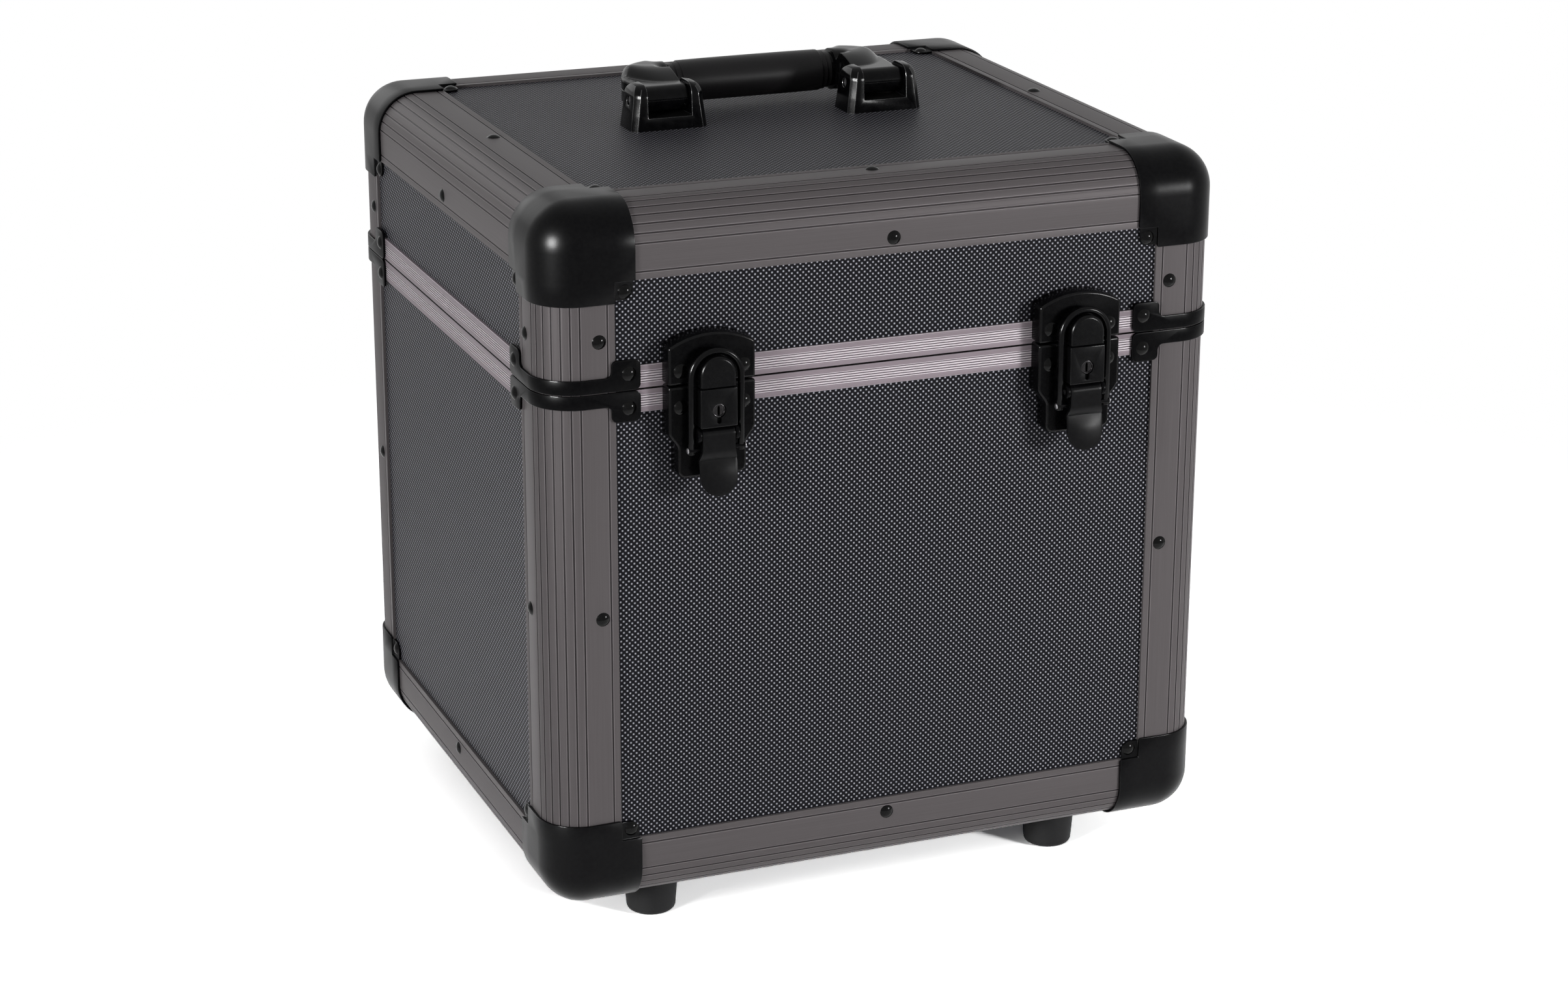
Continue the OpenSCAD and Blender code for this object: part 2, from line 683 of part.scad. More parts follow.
module handle_bracket(side) color([0.04, 0.04, 0.04]) case_frame() on_lid() difference() {
    translate([side * bracket_x, 0, 0]) intersection() {
        rotate([90, 0, 90]) linear_extrude(bracket_w, center = true)
            bracket_outline(bracket_d / 2, bracket_slope);
        rotate([90, 0, 0]) linear_extrude(bracket_d, center = true)
            bracket_outline(bracket_w / 2, bracket_lean);
        linear_extrude(2 * handle_pivot_h) bracket_foot();
    }
    translate([side * bracket_x - bracket_slot_w / 2, -bracket_d, bracket_floor_h])
        cube([bracket_slot_w, 2 * bracket_d, 2 * handle_pivot_h]);
    translate([side * bracket_x - bracket_w, 0, handle_pivot_h]) rotate([0, 90, 0])
        cylinder(r = handle_pin_r + running_clearance, h = 2 * bracket_w);
    at_bracket_screws() translate([0, 0, -eps]) cylinder(r = screw_r + rivet_clearance, h = bracket_floor_h - 1 + eps);
}

module handle_pins() color([0.6, 0.6, 0.6]) case_frame() on_lid() for (side = [-1, 1])
    translate([side * bracket_x, 0, handle_pivot_h]) rotate([0, 90, 0])
        cylinder(r = handle_pin_r, h = bracket_w - 2 * bracket_lean - 1, center = true);

module handle_screws() color([0.5, 0.5, 0.52]) case_frame() on_lid() at_bracket_screws() {
    translate([0, 0, -panel_t]) cylinder(r = screw_r, h = panel_t + bracket_floor_h - 1.5);
    translate([0, 0, -panel_t - 1.2]) cylinder(r = screw_r + 1.8, h = 1.2);
}

// The arm's outlines, seen from above and from the side, with the pivot along X
arm_w = bracket_slot_w - 2 * arm_clearance;
arm_neck = bracket_d / 2 + arm_clearance;
arm_end = grip_len / 2 + collar_len;
elbow_x = bracket_x - 8.1;
elbow_y = grip_reach + grip_r + 3 - elbow_r;

module arm_plan() {
    inner = bracket_x - arm_w / 2;
    outer = bracket_x + arm_w / 2;
    far = elbow_y + elbow_r + eps;
    polygon([[inner, -knuckle_r], [outer, -knuckle_r], [outer, elbow_y], [arm_end, elbow_y], [inner, arm_neck]]);
    intersection() {
        translate([elbow_x, elbow_y]) circle(elbow_r);
        polygon([[inner, arm_neck], [elbow_x + 2 * elbow_r, arm_neck], [elbow_x + 2 * elbow_r, far],
                 [arm_end, far], [arm_end, elbow_y]]);
    }
}

module arm_side() {
    rise = bracket_d / 2 - 2;
    level = elbow_y + 4;
    far = elbow_y + elbow_r + eps;
    circle(knuckle_r);
    polygon([[0, -knuckle_r], [rise, -knuckle_r], [level, -grip_r], [far, -grip_r],
             [far, grip_r], [level, grip_r], [rise, knuckle_r], [0, knuckle_r]]);
}

module handle_arm(side) color([0.04, 0.04, 0.04]) case_frame() on_lid() translate([0, 0, handle_pivot_h])
    mirror([side < 0 ? 1 : 0, 0, 0]) difference() {
        union() {
            intersection() {
                translate([0, 0, -2 * grip_r]) linear_extrude(4 * grip_r) arm_plan();
                rotate([90, 0, 90]) linear_extrude(2 * bracket_x) arm_side();
            }
            translate([grip_len / 2, grip_reach, 0]) rotate([0, 90, 0])
                cylinder(r = grip_r - 1, h = collar_len + eps);
        }
        for (k = [-1, 1]) translate([elbow_x + elbow_r / 3, elbow_y + elbow_r * 0.38,
                                     k * (grip_r + dish_r - dish_depth)]) sphere(dish_r);
        rotate([0, 90, 0]) cylinder(r = handle_pin_r + running_clearance, h = bracket_x + bracket_w);
    }

module handle_grip() color([0.07, 0.07, 0.07]) case_frame() on_lid()
    translate([-grip_len / 2, grip_reach, handle_pivot_h]) rotate([0, 90, 0]) rotate_extrude() {
        square([grip_r - 0.6, grip_len]);
        for (z = [0, grip_len - grip_ring_len]) translate([0, z]) square([grip_r, grip_ring_len]);
        translate([0, grip_ring_len + 1]) square([grip_r, grip_len - 2 * grip_ring_len - 2]);
    }

// Latches, in the frame of the front face: X across, Y up from the parting line, Z out of the case
module keeper_outline(inset) intersection() {
    translate([-latch_w / 2 + inset, inset]) square([latch_w - 2 * inset, keeper_h]);
    translate([0, keeper_h - keeper_arch_r]) circle(keeper_arch_r - inset);
}

module catch_block() {
    reach = latch_reach - latch_rise;
    edge = 1.2;
    stem = catch_top - catch_r - keeper_offset;
    translate([0, catch_top - catch_r, latch_rise]) {
        rotate_extrude(angle = 180) catch_section(reach, edge);
        rotate([90, 0, 0]) linear_extrude(stem) for (k = [0, 1]) mirror([k, 0]) catch_section(reach, edge);
    }
}

module catch_section(reach, edge) {
    square([catch_r - edge, reach]);
    square([catch_r, reach - edge]);
    translate([catch_r - edge, reach - edge]) circle(edge);
}

module keeper(side) color([0.04, 0.04, 0.04]) case_frame() difference() {
    on_front(side * latch_x) {
        difference() {
            translate([0, keeper_offset, -profile_t]) linear_extrude(latch_rise + profile_t) keeper_outline(0);
            translate([0, keeper_offset, -profile_t - eps])
                linear_extrude(latch_rise + profile_t + eps - latch_sheet) keeper_outline(latch_sheet);
            translate([-latch_w, -eps, -profile_t - eps])
                cube([2 * latch_w, rim_h + eps + knuckle_gap, profile_t + eps]);
        }
        catch_block();
    }
    rivet_holes(latch_rivets(parting_z + keeper_rivet_y));
}

// Half width of the base at a depth below its top: wide, an easy S-curve, then narrow
function base_half(d) = latch_w / 2
    - base_step * (1 - cos(180 * min(1, max(0, (d - base_wide_h) / base_taper_h)))) / 2;
taper_steps = [for (i = [0 : 8]) base_wide_h + base_taper_h * i / 8];

module base_outline(inset) {
    round_r = 4;
    low = -base_h + inset;
    half = base_half(base_h) - inset;
    polygon(concat(
        [[0, -inset], [latch_w / 2 - inset, -inset]],
        [for (d = taper_steps) [base_half(d) - inset, -d]],
        [[half, low + round_r], [half - round_r, low], [round_r - half, low], [-half, low + round_r]],
        [for (i = [8 : -1 : 0]) [inset - base_half(taper_steps[i]), -taper_steps[i]]],
        [[inset - latch_w / 2, -inset]]
    ));
    for (s = [-1, 1]) translate([s * (half - round_r), low + round_r]) circle(round_r);
}

base_top = keeper_offset - 0.8;

module latch_base(side) color([0.04, 0.04, 0.04]) case_frame() difference() {
    on_front(side * latch_x) {
        difference() {
            translate([0, base_top, -profile_t]) linear_extrude(latch_rise + profile_t) base_outline(0);
            translate([0, base_top, -profile_t - eps])
                linear_extrude(latch_rise + profile_t + eps - latch_sheet) base_outline(latch_sheet);
            translate([-latch_w, -rim_h - knuckle_gap, -profile_t - eps])
                cube([2 * latch_w, rim_h + 2 * base_top + knuckle_gap, profile_t + eps]);
            translate([-latch_w, -half_gap - knuckle_gap, -profile_t - eps])
                cube([2 * latch_w, 2 * base_top + knuckle_gap, profile_t + eps + 0.5]);
        }
        for (k = [-1, 1]) difference() {
            translate([k * (lever_w / 2 + lug_gap + lug_t / 2), -lever_drop, 0]) rotate([0, -90, 0])
                linear_extrude(lug_t, center = true) {
                    translate([latch_rise, -4]) square([lever_pin_rise - latch_rise, 8]);
                    translate([lever_pin_rise, 0]) circle(latch_reach - lever_pin_rise);
                }
            translate([0, -lever_drop, lever_pin_rise]) rotate([0, 90, 0])
                cylinder(r = lever_pin_r + running_clearance, h = latch_w, center = true);
        }
    }
    rivet_holes(latch_rivets(parting_z + base_rivet_y));
}

module key_housing(side) color([0.05, 0.05, 0.05]) case_frame() on_front(side * latch_x) difference() {
    translate([-key_box_w / 2, base_top - key_box_h, latch_rise])
        cube([key_box_w, key_box_h, latch_reach - latch_rise]);
    translate([0, -key_drop, latch_rise - eps])
        cylinder(r = cylinder_r + running_clearance, h = latch_reach + eps);
    translate([-1.2, -key_drop - cylinder_r - 3, latch_reach - 3]) cube([2.4, cylinder_r + 3, 3 + eps]);
}

module lock_cylinder(side) color([0.45, 0.45, 0.45]) case_frame() on_front(side * latch_x) difference() {
    translate([0, -key_drop, latch_rise + running_clearance])
        cylinder(r = cylinder_r, h = latch_reach - latch_rise - 0.6);
    translate([-0.65, -key_drop - 0.7 * cylinder_r, latch_reach - 6.5]) cube([1.3, 1.4 * cylinder_r, 7]);
}

module lever_pins() color([0.5, 0.5, 0.5]) case_frame() for (side = [-1, 1]) on_front(side * latch_x)
    translate([0, -lever_drop, lever_pin_rise]) rotate([0, 90, 0])
        cylinder(r = lever_pin_r, h = lever_w + 2 * lug_gap + 2 * lug_t, center = true);

// The lever, with Y and Z from its pin
module lever_side() {
    crest = latch_reach - lever_pin_rise;
    front = lever_knuckle_r;
    polygon([[front, 0], [front, -12], [front - 2.2, -17], [crest, -tab_len],
             [crest - lever_t, -tab_len], [front - 2.2 - lever_t, -17], [front - lever_t, -12], [front - lever_t, 0]]);
}

// Half width of the lever along its shoulders, an easy S-curve
function shoulder_half(t) = lever_w / 2 + (tab_w - lever_w) * (1 - cos(180 * t)) / 4;
shoulder_steps = [for (i = [0 : 8]) i / 8];

module lever_face() {
    start = 1.5 - bail_drop;
    low = start - shoulder_h;
    translate([-lever_w / 2, start - eps]) square([lever_w, eps - start]);
    polygon(concat(
        [for (t = shoulder_steps) [shoulder_half(t), start - t * shoulder_h]],
        [for (i = [8 : -1 : 0]) [-shoulder_half(i / 8), start - i / 8 * shoulder_h]]
    ));
    translate([-tab_w / 2, -tab_len + tab_w / 2]) square([tab_w, tab_len - tab_w / 2 + low]);
    translate([0, -tab_len + tab_w / 2]) circle(tab_w / 2);
}

module lever(side) color([0.04, 0.04, 0.04]) case_frame() on_front(side * latch_x)
    translate([0, -lever_drop, lever_pin_rise]) difference() {
        union() {
            rotate([0, 90, 0]) cylinder(r = lever_knuckle_r, h = lever_w, center = true);
            intersection() {
                rotate([0, -90, 0]) linear_extrude(max(lever_w, tab_w), center = true) lever_side();
                translate([0, 0, -lever_knuckle_r]) linear_extrude(4 * lever_knuckle_r) lever_face();
            }
            for (k = [-1, 1]) translate([k * (lever_w - lever_t) / 2, 0, 0]) rotate([0, -90, 0])
                linear_extrude(lever_t, center = true) {
                    translate([-bail_set_back, -bail_drop]) circle(3);
                    translate([-bail_set_back, -bail_drop - 3])
                        square([bail_set_back + lever_knuckle_r - lever_t / 2, 6]);
                }
        }
        rotate([0, 90, 0]) cylinder(r = lever_pin_r + running_clearance, h = lever_w + 2, center = true);
        translate([0, -bail_drop, -bail_set_back]) rotate([0, 90, 0])
            cylinder(r = wire_r + running_clearance, h = lever_w + 2, center = true);
    }

module bail(side) {
    bend_r = 2.6;
    color([0.04, 0.04, 0.04]) case_frame() on_front(side * latch_x) translate([0, 0, bail_rise]) {
        translate([0, bail_arch_y, 0]) rotate_extrude(angle = 180) translate([bail_half_w, 0]) circle(wire_r);
        for (k = [0, 1]) mirror([k, 0, 0]) {
            translate([bail_half_w, bail_arch_y, 0]) rotate([90, 0, 0])
                cylinder(r = wire_r, h = bail_arch_y - bail_pivot_y - bend_r);
            translate([bail_half_w - bend_r, bail_pivot_y + bend_r, 0]) rotate(270)
                rotate_extrude(angle = 90) translate([bend_r, 0]) circle(wire_r);
            translate([lever_w / 2 - lever_t - 0.4, bail_pivot_y, 0]) rotate([0, 90, 0])
                cylinder(r = wire_r, h = bail_half_w - bend_r - lever_w / 2 + lever_t + 0.4);
        }
    }
}

// Hinges, in the frame of the back face at the parting line: Y out of the case, Z up
module knuckles(first) {
    step = hinge_w / knuckle_count;
    for (i = [first : 2 : knuckle_count - 1])
        translate([-hinge_w / 2 + i * step + knuckle_gap / 2, 0, 0]) children();
}

module leaf(first) {
    length = hinge_w / knuckle_count - knuckle_gap;
    pad = hinge_leaf_h - rim_h - knuckle_gap;
    translate([-hinge_w / 2, 0, leaf_edge]) cube([hinge_w, hinge_t, hinge_leaf_h - leaf_edge]);
    translate([-hinge_w / 2, -profile_t, hinge_leaf_h - pad]) cube([hinge_w, profile_t, pad]);
    knuckles(first) {
        translate([0, hinge_axis_out, 0]) rotate([0, 90, 0]) cylinder(r = hinge_knuckle_r, h = length);
        translate([0, knuckle_gap, 0]) cube([length, hinge_t - knuckle_gap, leaf_edge + eps]);
    }
}

module leaf_holes(z) {
    for (side = [-1, 1]) on_back(side * hinge_x) translate([0, hinge_axis_out, 0]) rotate([0, 90, 0])
        cylinder(r = hinge_pin_r + running_clearance, h = hinge_w + 2, center = true);
    rivet_holes(hinge_rivets(z));
}

module hinge_body_leaves() color([0.05, 0.05, 0.05]) case_frame() difference() {
    for (side = [-1, 1]) on_back(side * hinge_x) mirror([0, 0, 1]) leaf(0);
    leaf_holes(parting_z - hinge_rivet_drop);
}

// The stop lugs turn down with the lid and land on the body leaf at the opening angle
stop_low = (hinge_axis_out - hinge_t - seat_gap - stop_len * sin(lid_open - 90)) / cos(lid_open - 90);
stop_t = 3;

module hinge_lid_leaves() color([0.05, 0.05, 0.05]) case_frame() difference() {
    for (side = [-1, 1]) on_back(side * hinge_x) {
        leaf(1);
        knuckles(1) translate([0, hinge_axis_out, -stop_low])
            cube([hinge_w / knuckle_count - knuckle_gap, stop_len, stop_t]);
    }
    leaf_holes(parting_z + hinge_rivet_drop);
}

module hinge_pins() color([0.5, 0.5, 0.5]) case_frame() for (side = [-1, 1]) on_back(side * hinge_x)
    translate([0, hinge_axis_out, 0]) rotate([0, 90, 0])
        cylinder(r = hinge_pin_r, h = hinge_w + 1, center = true);

front_panel();
back_panel();
left_panel();
right_panel();
bottom_panel();
body_post(-1, -1);  // post_front_left
body_post(1, -1);  // post_front_right
body_post(-1, 1);  // post_back_left
body_post(1, 1);  // post_back_right
edge_along_x(-1, -1);  // bottom_edge_front
edge_along_x(1, -1);  // bottom_edge_back
edge_along_y(-1, -1);  // bottom_edge_left
edge_along_y(1, -1);  // bottom_edge_right
body_rims();
corner_caps(-1);  // bottom_corner_caps
corner_braces(-1);  // body_corner_braces
rivets(body_spots);  // body_rivets
body_lining();
feet();
foot_screws();
latch_base(-1);  // latch_base_left
latch_base(1);  // latch_base_right
key_housing(-1);  // key_housing_left
key_housing(1);  // key_housing_right
lever_pins();
hinge_body_leaves();
hinge_pins();
top_panel();
lid_front_panel();
lid_back_panel();
lid_left_panel();
lid_right_panel();
lid_posts();
edge_along_x(-1, 1);  // top_edge_front
edge_along_x(1, 1);  // top_edge_back
edge_along_y(-1, 1);  // top_edge_left
edge_along_y(1, 1);  // top_edge_right
lid_rims();
corner_caps(1);  // top_corner_caps
corner_braces(1);  // lid_corner_braces
rivets(lid_spots);  // lid_rivets
lid_lining();
keeper(-1);  // keeper_left
keeper(1);  // keeper_right
hinge_lid_leaves();
handle_bracket(-1);  // handle_bracket_left
handle_bracket(1);  // handle_bracket_right
handle_pins();
handle_screws();
handle_arm(-1);  // handle_arm_left
handle_arm(1);  // handle_arm_right
handle_grip();
lever(-1);  // lever_left
lever(1);  // lever_right
bail(-1);  // bail_left
bail(1);  // bail_right
lock_cylinder(-1);  // lock_cylinder_left
lock_cylinder(1);  // lock_cylinder_right
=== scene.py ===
import math
import bpy
import bmesh
from mathutils import Vector, Matrix


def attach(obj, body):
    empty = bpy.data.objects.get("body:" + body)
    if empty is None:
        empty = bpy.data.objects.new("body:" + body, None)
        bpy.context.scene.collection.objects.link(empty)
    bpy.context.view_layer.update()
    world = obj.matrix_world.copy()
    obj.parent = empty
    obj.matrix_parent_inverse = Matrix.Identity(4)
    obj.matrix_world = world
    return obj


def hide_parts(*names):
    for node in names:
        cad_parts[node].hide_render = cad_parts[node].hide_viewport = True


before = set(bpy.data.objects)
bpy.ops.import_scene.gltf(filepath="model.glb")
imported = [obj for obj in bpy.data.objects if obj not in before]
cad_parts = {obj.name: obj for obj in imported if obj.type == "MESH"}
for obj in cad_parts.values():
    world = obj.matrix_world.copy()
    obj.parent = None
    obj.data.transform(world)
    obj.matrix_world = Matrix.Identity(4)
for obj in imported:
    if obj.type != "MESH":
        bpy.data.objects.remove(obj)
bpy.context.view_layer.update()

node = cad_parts

view_from = (math.radians(-21.94), math.radians(18.84))
view_roll = math.radians(0.14)
view_target = Vector((0.008, 0.00425, 0.1828))
view_distance = 2.010
lens_data = bpy.data.cameras.new("camera")
lens_data.sensor_width = 36
lens_data.lens = 80.36
lens_data.clip_start, lens_data.clip_end = 0.05, 50
camera = bpy.data.objects.new("camera", lens_data)
bpy.context.scene.collection.objects.link(camera)
back = Vector((math.sin(view_from[0]) * math.cos(view_from[1]),
               -math.cos(view_from[0]) * math.cos(view_from[1]), math.sin(view_from[1])))
right = Vector((math.cos(view_from[0]), math.sin(view_from[0]), 0))
up = right.cross(-back)
tilted_right = right * math.cos(view_roll) + up * math.sin(view_roll)
tilted_up = up * math.cos(view_roll) - right * math.sin(view_roll)
turn = Matrix((tilted_right, tilted_up, back)).transposed().to_4x4()
camera.matrix_world = Matrix.Translation(view_target + back * view_distance) @ turn
bpy.context.scene.camera = camera
bpy.context.scene.view_settings.view_transform = "Standard"


# The studio: a white surround, a pale table that keeps the case's shadow, and soft lamps. The white is only
# what the camera and the reflections see, so it adds no light to the case. The last lamp gives no light to
# matt surfaces: it is there for the highlights on the corner caps.
def new_part(tree, kind, feeds=(), **settings):
    """A shader node. A feed is a value for an input, or another node's output to be linked to it."""
    part = tree.nodes.new("ShaderNode" + kind)
    for key, value in settings.items():
        setattr(part, key, value)
    for socket, feed in dict(feeds).items():
        if isinstance(feed, bpy.types.NodeSocket):
            tree.links.new(feed, part.inputs[socket])
        else:
            part.inputs[socket].default_value = feed
    return part


def seen_rays(tree):
    """One for the rays of the camera and of reflections, and nothing for the rays that light the case."""
    path = new_part(tree, "LightPath").outputs
    mirrored = new_part(tree, "Math", {0: path["Is Glossy Ray"], 1: path["Is Transmission Ray"]},
                        operation="MAXIMUM")
    seen = new_part(tree, "Math", {0: path["Is Camera Ray"], 1: mirrored.outputs[0]}, operation="MAXIMUM")
    return seen.outputs[0]


plain_white = (1, 1, 1, 1)
surround = bpy.data.worlds.new("surround")
bpy.context.scene.world = surround
surround.use_nodes = True
tree = surround.node_tree
tree.nodes.clear()
soft_light = new_part(tree, "Background", {"Color": plain_white, "Strength": 0.22})
seen_white = new_part(tree, "Background", {"Color": plain_white, "Strength": 1})
either = new_part(tree, "MixShader", {0: seen_rays(tree), 1: soft_light.outputs[0], 2: seen_white.outputs[0]})
new_part(tree, "OutputWorld", {"Surface": either.outputs[0]})

bpy.ops.mesh.primitive_plane_add(size=24, location=(0, 0, 0))
table = bpy.context.object
table.name = "table"
table_paint = bpy.data.materials.new("table_white")
table_paint.use_nodes = True
tree = table_paint.node_tree
tree.nodes.clear()
whiteness = new_part(tree, "MapRange", {"Value": seen_rays(tree), "To Min": 0.8, "To Max": 3.4})
shade = new_part(tree, "BsdfDiffuse", {"Color": whiteness.outputs[0]})
far_white = new_part(tree, "Emission")
reach = new_part(tree, "VectorMath", {0: new_part(tree, "TexCoord").outputs["Object"]}, operation="LENGTH")
fade = new_part(tree, "MapRange", {"Value": reach.outputs["Value"], "From Min": 0.42, "From Max": 0.9},
                interpolation_type="SMOOTHSTEP")
fade_seen = new_part(tree, "Math", {0: fade.outputs[0], 1: seen_rays(tree)}, operation="MULTIPLY")
mixed = new_part(tree, "MixShader", {0: fade_seen.outputs[0], 1: shade.outputs[0], 2: far_white.outputs[0]})
new_part(tree, "OutputMaterial", {"Surface": mixed.outputs[0]})
table.data.materials.append(table_paint)

lamps_point_at = Vector((0, 0, 0.2))
for name, place_at, size, power, lights_matt in [
    ("lamp_front_left", (-2.0, -1.1, 0.85), 0.4, 22, True),
    ("lamp_top", (0.2, 0.3, 2.0), 1.0, 0.5, True),
    ("lamp_front_right", (1.05, -1.45, 0.52), 0.3, 20, True),
    ("lamp_back", (-0.6, 2.0, 1.1), 1.0, 4, True),
    ("lamp_of_highlights", (-2.0, -1.1, 0.85), 0.6, 260, False),
]:
    glow = bpy.data.lights.new(name, "AREA")
    glow.shape = "SQUARE"
    glow.size = size
    glow.energy = power
    lamp = bpy.data.objects.new(name, glow)
    bpy.context.scene.collection.objects.link(lamp)
    lamp.location = place_at
    lamp.visible_diffuse = lights_matt
    lamp.rotation_euler = (lamps_point_at - Vector(place_at)).to_track_quat("-Z", "Y").to_euler()


# Panels: plywood boards faced with black laminate whose small raised dots stand in staggered rows.
# They slide into the aluminium profiles and rims and are held there by rivets.
dot_pitch, dot_edge, glint_sharpness, dot_h = 0.0031, 0.45, 2.4, 0.0003


def linear(red, green, blue):
    return tuple((c / 255 / 12.92 if c <= 10 else ((c / 255 + 0.055) / 1.055) ** 2.4)
                 for c in (red, green, blue)) + (1,)


def finish_called(name, rough, metal=0.0, specular=0.5):
    paint = bpy.data.materials.new(name)
    paint.use_nodes = True
    shader = paint.node_tree.nodes["Principled BSDF"]
    shader.inputs["Roughness"].default_value = rough
    shader.inputs["Metallic"].default_value = metal
    shader.inputs["Specular IOR Level"].default_value = specular
    return paint, paint.node_tree, shader


def two_tones(tree, value, shader, dark, light, low=0.0, high=1.0):
    ramp = new_part(tree, "ValToRGB", {0: value})
    ramp.color_ramp.elements[0].position, ramp.color_ramp.elements[1].position = low, high
    ramp.color_ramp.elements[0].color, ramp.color_ramp.elements[1].color = dark, light
    tree.links.new(ramp.outputs[0], shader.inputs["Base Color"])


def placed(tree, scale, turned=(0, 0, 0)):
    place = new_part(tree, "TexCoord").outputs["Object"]
    angles = [math.radians(a) for a in turned]
    return new_part(tree, "Mapping", {"Vector": place, "Scale": scale, "Rotation": angles}).outputs[0]


def raised(tree, height, shader, depth, strength):
    bump = new_part(tree, "Bump", {"Height": height, "Distance": depth, "Strength": strength})
    tree.links.new(bump.outputs[0], shader.inputs["Normal"])


def laminate_with_painted_glints(name, turned):
    paint, tree, shader = finish_called(name, 0.45, specular=0.04)
    every = math.sqrt(2) / dot_pitch
    dots = new_part(tree, "TexVoronoi", {"Vector": placed(tree, (every,) * 3, turned), "Scale": 1,
                                         "Randomness": 0}, voronoi_dimensions="2D")
    dome = new_part(tree, "MapRange", {"Value": dots.outputs["Distance"], "From Min": dot_edge,
                                       "From Max": 0.0}, interpolation_type="SMOOTHSTEP")
    sharp = new_part(tree, "Math", {0: dome.outputs[0], 1: glint_sharpness}, operation="POWER")
    # The dots' tops are painted near white on the dark laminate: a painted highlight for the glint off the
    # raised dots.
    two_tones(tree, sharp.outputs[0], shader, linear(18, 18, 22), linear(206, 206, 216))
    raised(tree, dome.outputs[0], shader, dot_h, 0.8)
    return paint


def painted(names, paint):
    for name in names:
        node[name].data.materials.clear()
        node[name].data.materials.append(paint)


painted(["front_panel", "back_panel", "lid_front_panel", "lid_back_panel"],
        laminate_with_painted_glints("laminate_front", (90, 0, 45)))
painted(["left_panel", "right_panel", "lid_left_panel", "lid_right_panel"],
        laminate_with_painted_glints("laminate_side", (0, 90, 45)))
painted(["top_panel", "bottom_panel"], laminate_with_painted_glints("laminate_top", (0, 0, 45)))


# Edge profiles: hollow extruded aluminium, fluted round the corner, anodised a warm grey. The brushing
# runs along each length. They are mitred under the corner caps and riveted to the boards. This mesh and
# those that follow are drawn in millimetres, and scaled into the frame as they are set in.
case_w, case_d, case_h, parting_z, half_gap = 380, 340, 380, 285, 0.2
case_y, foot_h, mm = 4.25, 26, 0.001
case_place = Matrix.Translation((0, case_y * mm, foot_h * mm)) @ Matrix.Scale(mm, 4)
leg, nose_r, wall, board, inner_leg = 38, 22, 1.6, 7, 32
board_in = wall + board
flutes, flute_w, flute_d, line_at = 7, 0.9, 0.4, 33.6
# Depths under the skin from which a face takes the lips' painted highlight, and from which it takes the
# floors' painted shade.
painted_highlight_from, painted_shade_from, painted_shade_spare = 0.02, 0.09, 0.04
profile_start = 24
x_axis, y_axis, z_axis = axes = Matrix.Identity(3)


def take(*pieces):
    bpy.ops.object.select_all(action="DESELECT")
    for piece in pieces:
        piece.select_set(True)
    bpy.context.view_layer.objects.active = pieces[0]


def at_work(piece):
    take(piece)
    bpy.ops.object.mode_set(mode="EDIT")


def laid_down():
    bpy.ops.object.mode_set(mode="OBJECT")


def pick(kind, wanted):
    bpy.context.tool_settings.mesh_select_mode = [kind == k for k in ("verts", "edges", "faces")]
    bpy.ops.mesh.select_all(action="DESELECT")
    mesh = bmesh.from_edit_mesh(bpy.context.object.data)
    for item in getattr(mesh, kind):
        if wanted(item):
            item.select_set(True)
    mesh.select_flush_mode()
    bmesh.update_edit_mesh(bpy.context.object.data)


def pick_all():
    bpy.ops.mesh.select_all(action="SELECT")


def drawn_out(x, y, z):
    """Extrudes what is picked."""
    bpy.ops.mesh.extrude_region_move(TRANSFORM_OT_translate={"value": (x, y, z)})


def closed(merge=0):
    """Ends the work on a mesh: near points are merged, if wanted, and the faces turned outwards."""
    pick_all()
    if merge:
        bpy.ops.mesh.remove_doubles(threshold=merge)
    bpy.ops.mesh.normals_make_consistent(inside=False)
    laid_down()


def chain(name, points):
    """A chain of edges drawn point by point, left open and in edit mode."""
    bpy.ops.object.select_all(action="DESELECT")
    bpy.ops.mesh.primitive_plane_add(size=1, location=(0, 0, 0))
    piece = bpy.context.object
    piece.name = name
    bpy.ops.object.mode_set(mode="EDIT")
    bpy.context.tool_settings.mesh_select_mode = (True, False, False)
    pick_all()
    bpy.ops.mesh.merge(type="CENTER")
    points = [Vector(point).to_3d() for point in points]
    bpy.ops.transform.translate(value=points[0])
    for here, there in zip(points, points[1:]):
        bpy.ops.mesh.extrude_vertices_move(TRANSFORM_OT_translate={"value": there - here})
    return piece


def flat_piece(name, outline):
    """A closed outline filled with one face, left in edit mode."""
    piece = chain(name, outline)
    pick_all()
    bpy.ops.mesh.edge_face_add()
    return piece


def bar_of(name, outline, start, length):
    """A closed outline in XY, extruded along Z."""
    piece = flat_piece(name, [(x, y, start) for x, y in outline])
    drawn_out(0, 0, length)
    closed()
    return piece


def made_one(*pieces):
    take(*pieces)
    bpy.ops.object.join()
    return bpy.context.object


def smoothed(piece, degrees):
    take(piece)
    bpy.ops.object.shade_smooth_by_angle(angle=math.radians(degrees))
    return piece


def copied(pattern, name):
    piece = pattern.copy()
    piece.data = pattern.data.copy()
    piece.name = piece.data.name = name
    bpy.context.scene.collection.objects.link(piece)
    return piece


def moved(piece, place):
    """Moves a piece and applies the move to its mesh."""
    piece.matrix_world = place
    take(piece)
    bpy.ops.object.transform_apply(location=True, rotation=True, scale=True)
    return piece


def in_frame(piece, body, stands_for):
    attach(piece, body)
    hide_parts(stands_for)


def set_in(pattern, name, place, body, stands_for):
    """A copy of a finished pattern piece, set in its place in the case."""
    piece = moved(copied(pattern, name), case_place @ place)
    at_work(piece)
    closed()
    in_frame(piece, body, stands_for)


def put_away(*patterns):
    for pattern in patterns:
        bpy.data.objects.remove(pattern)


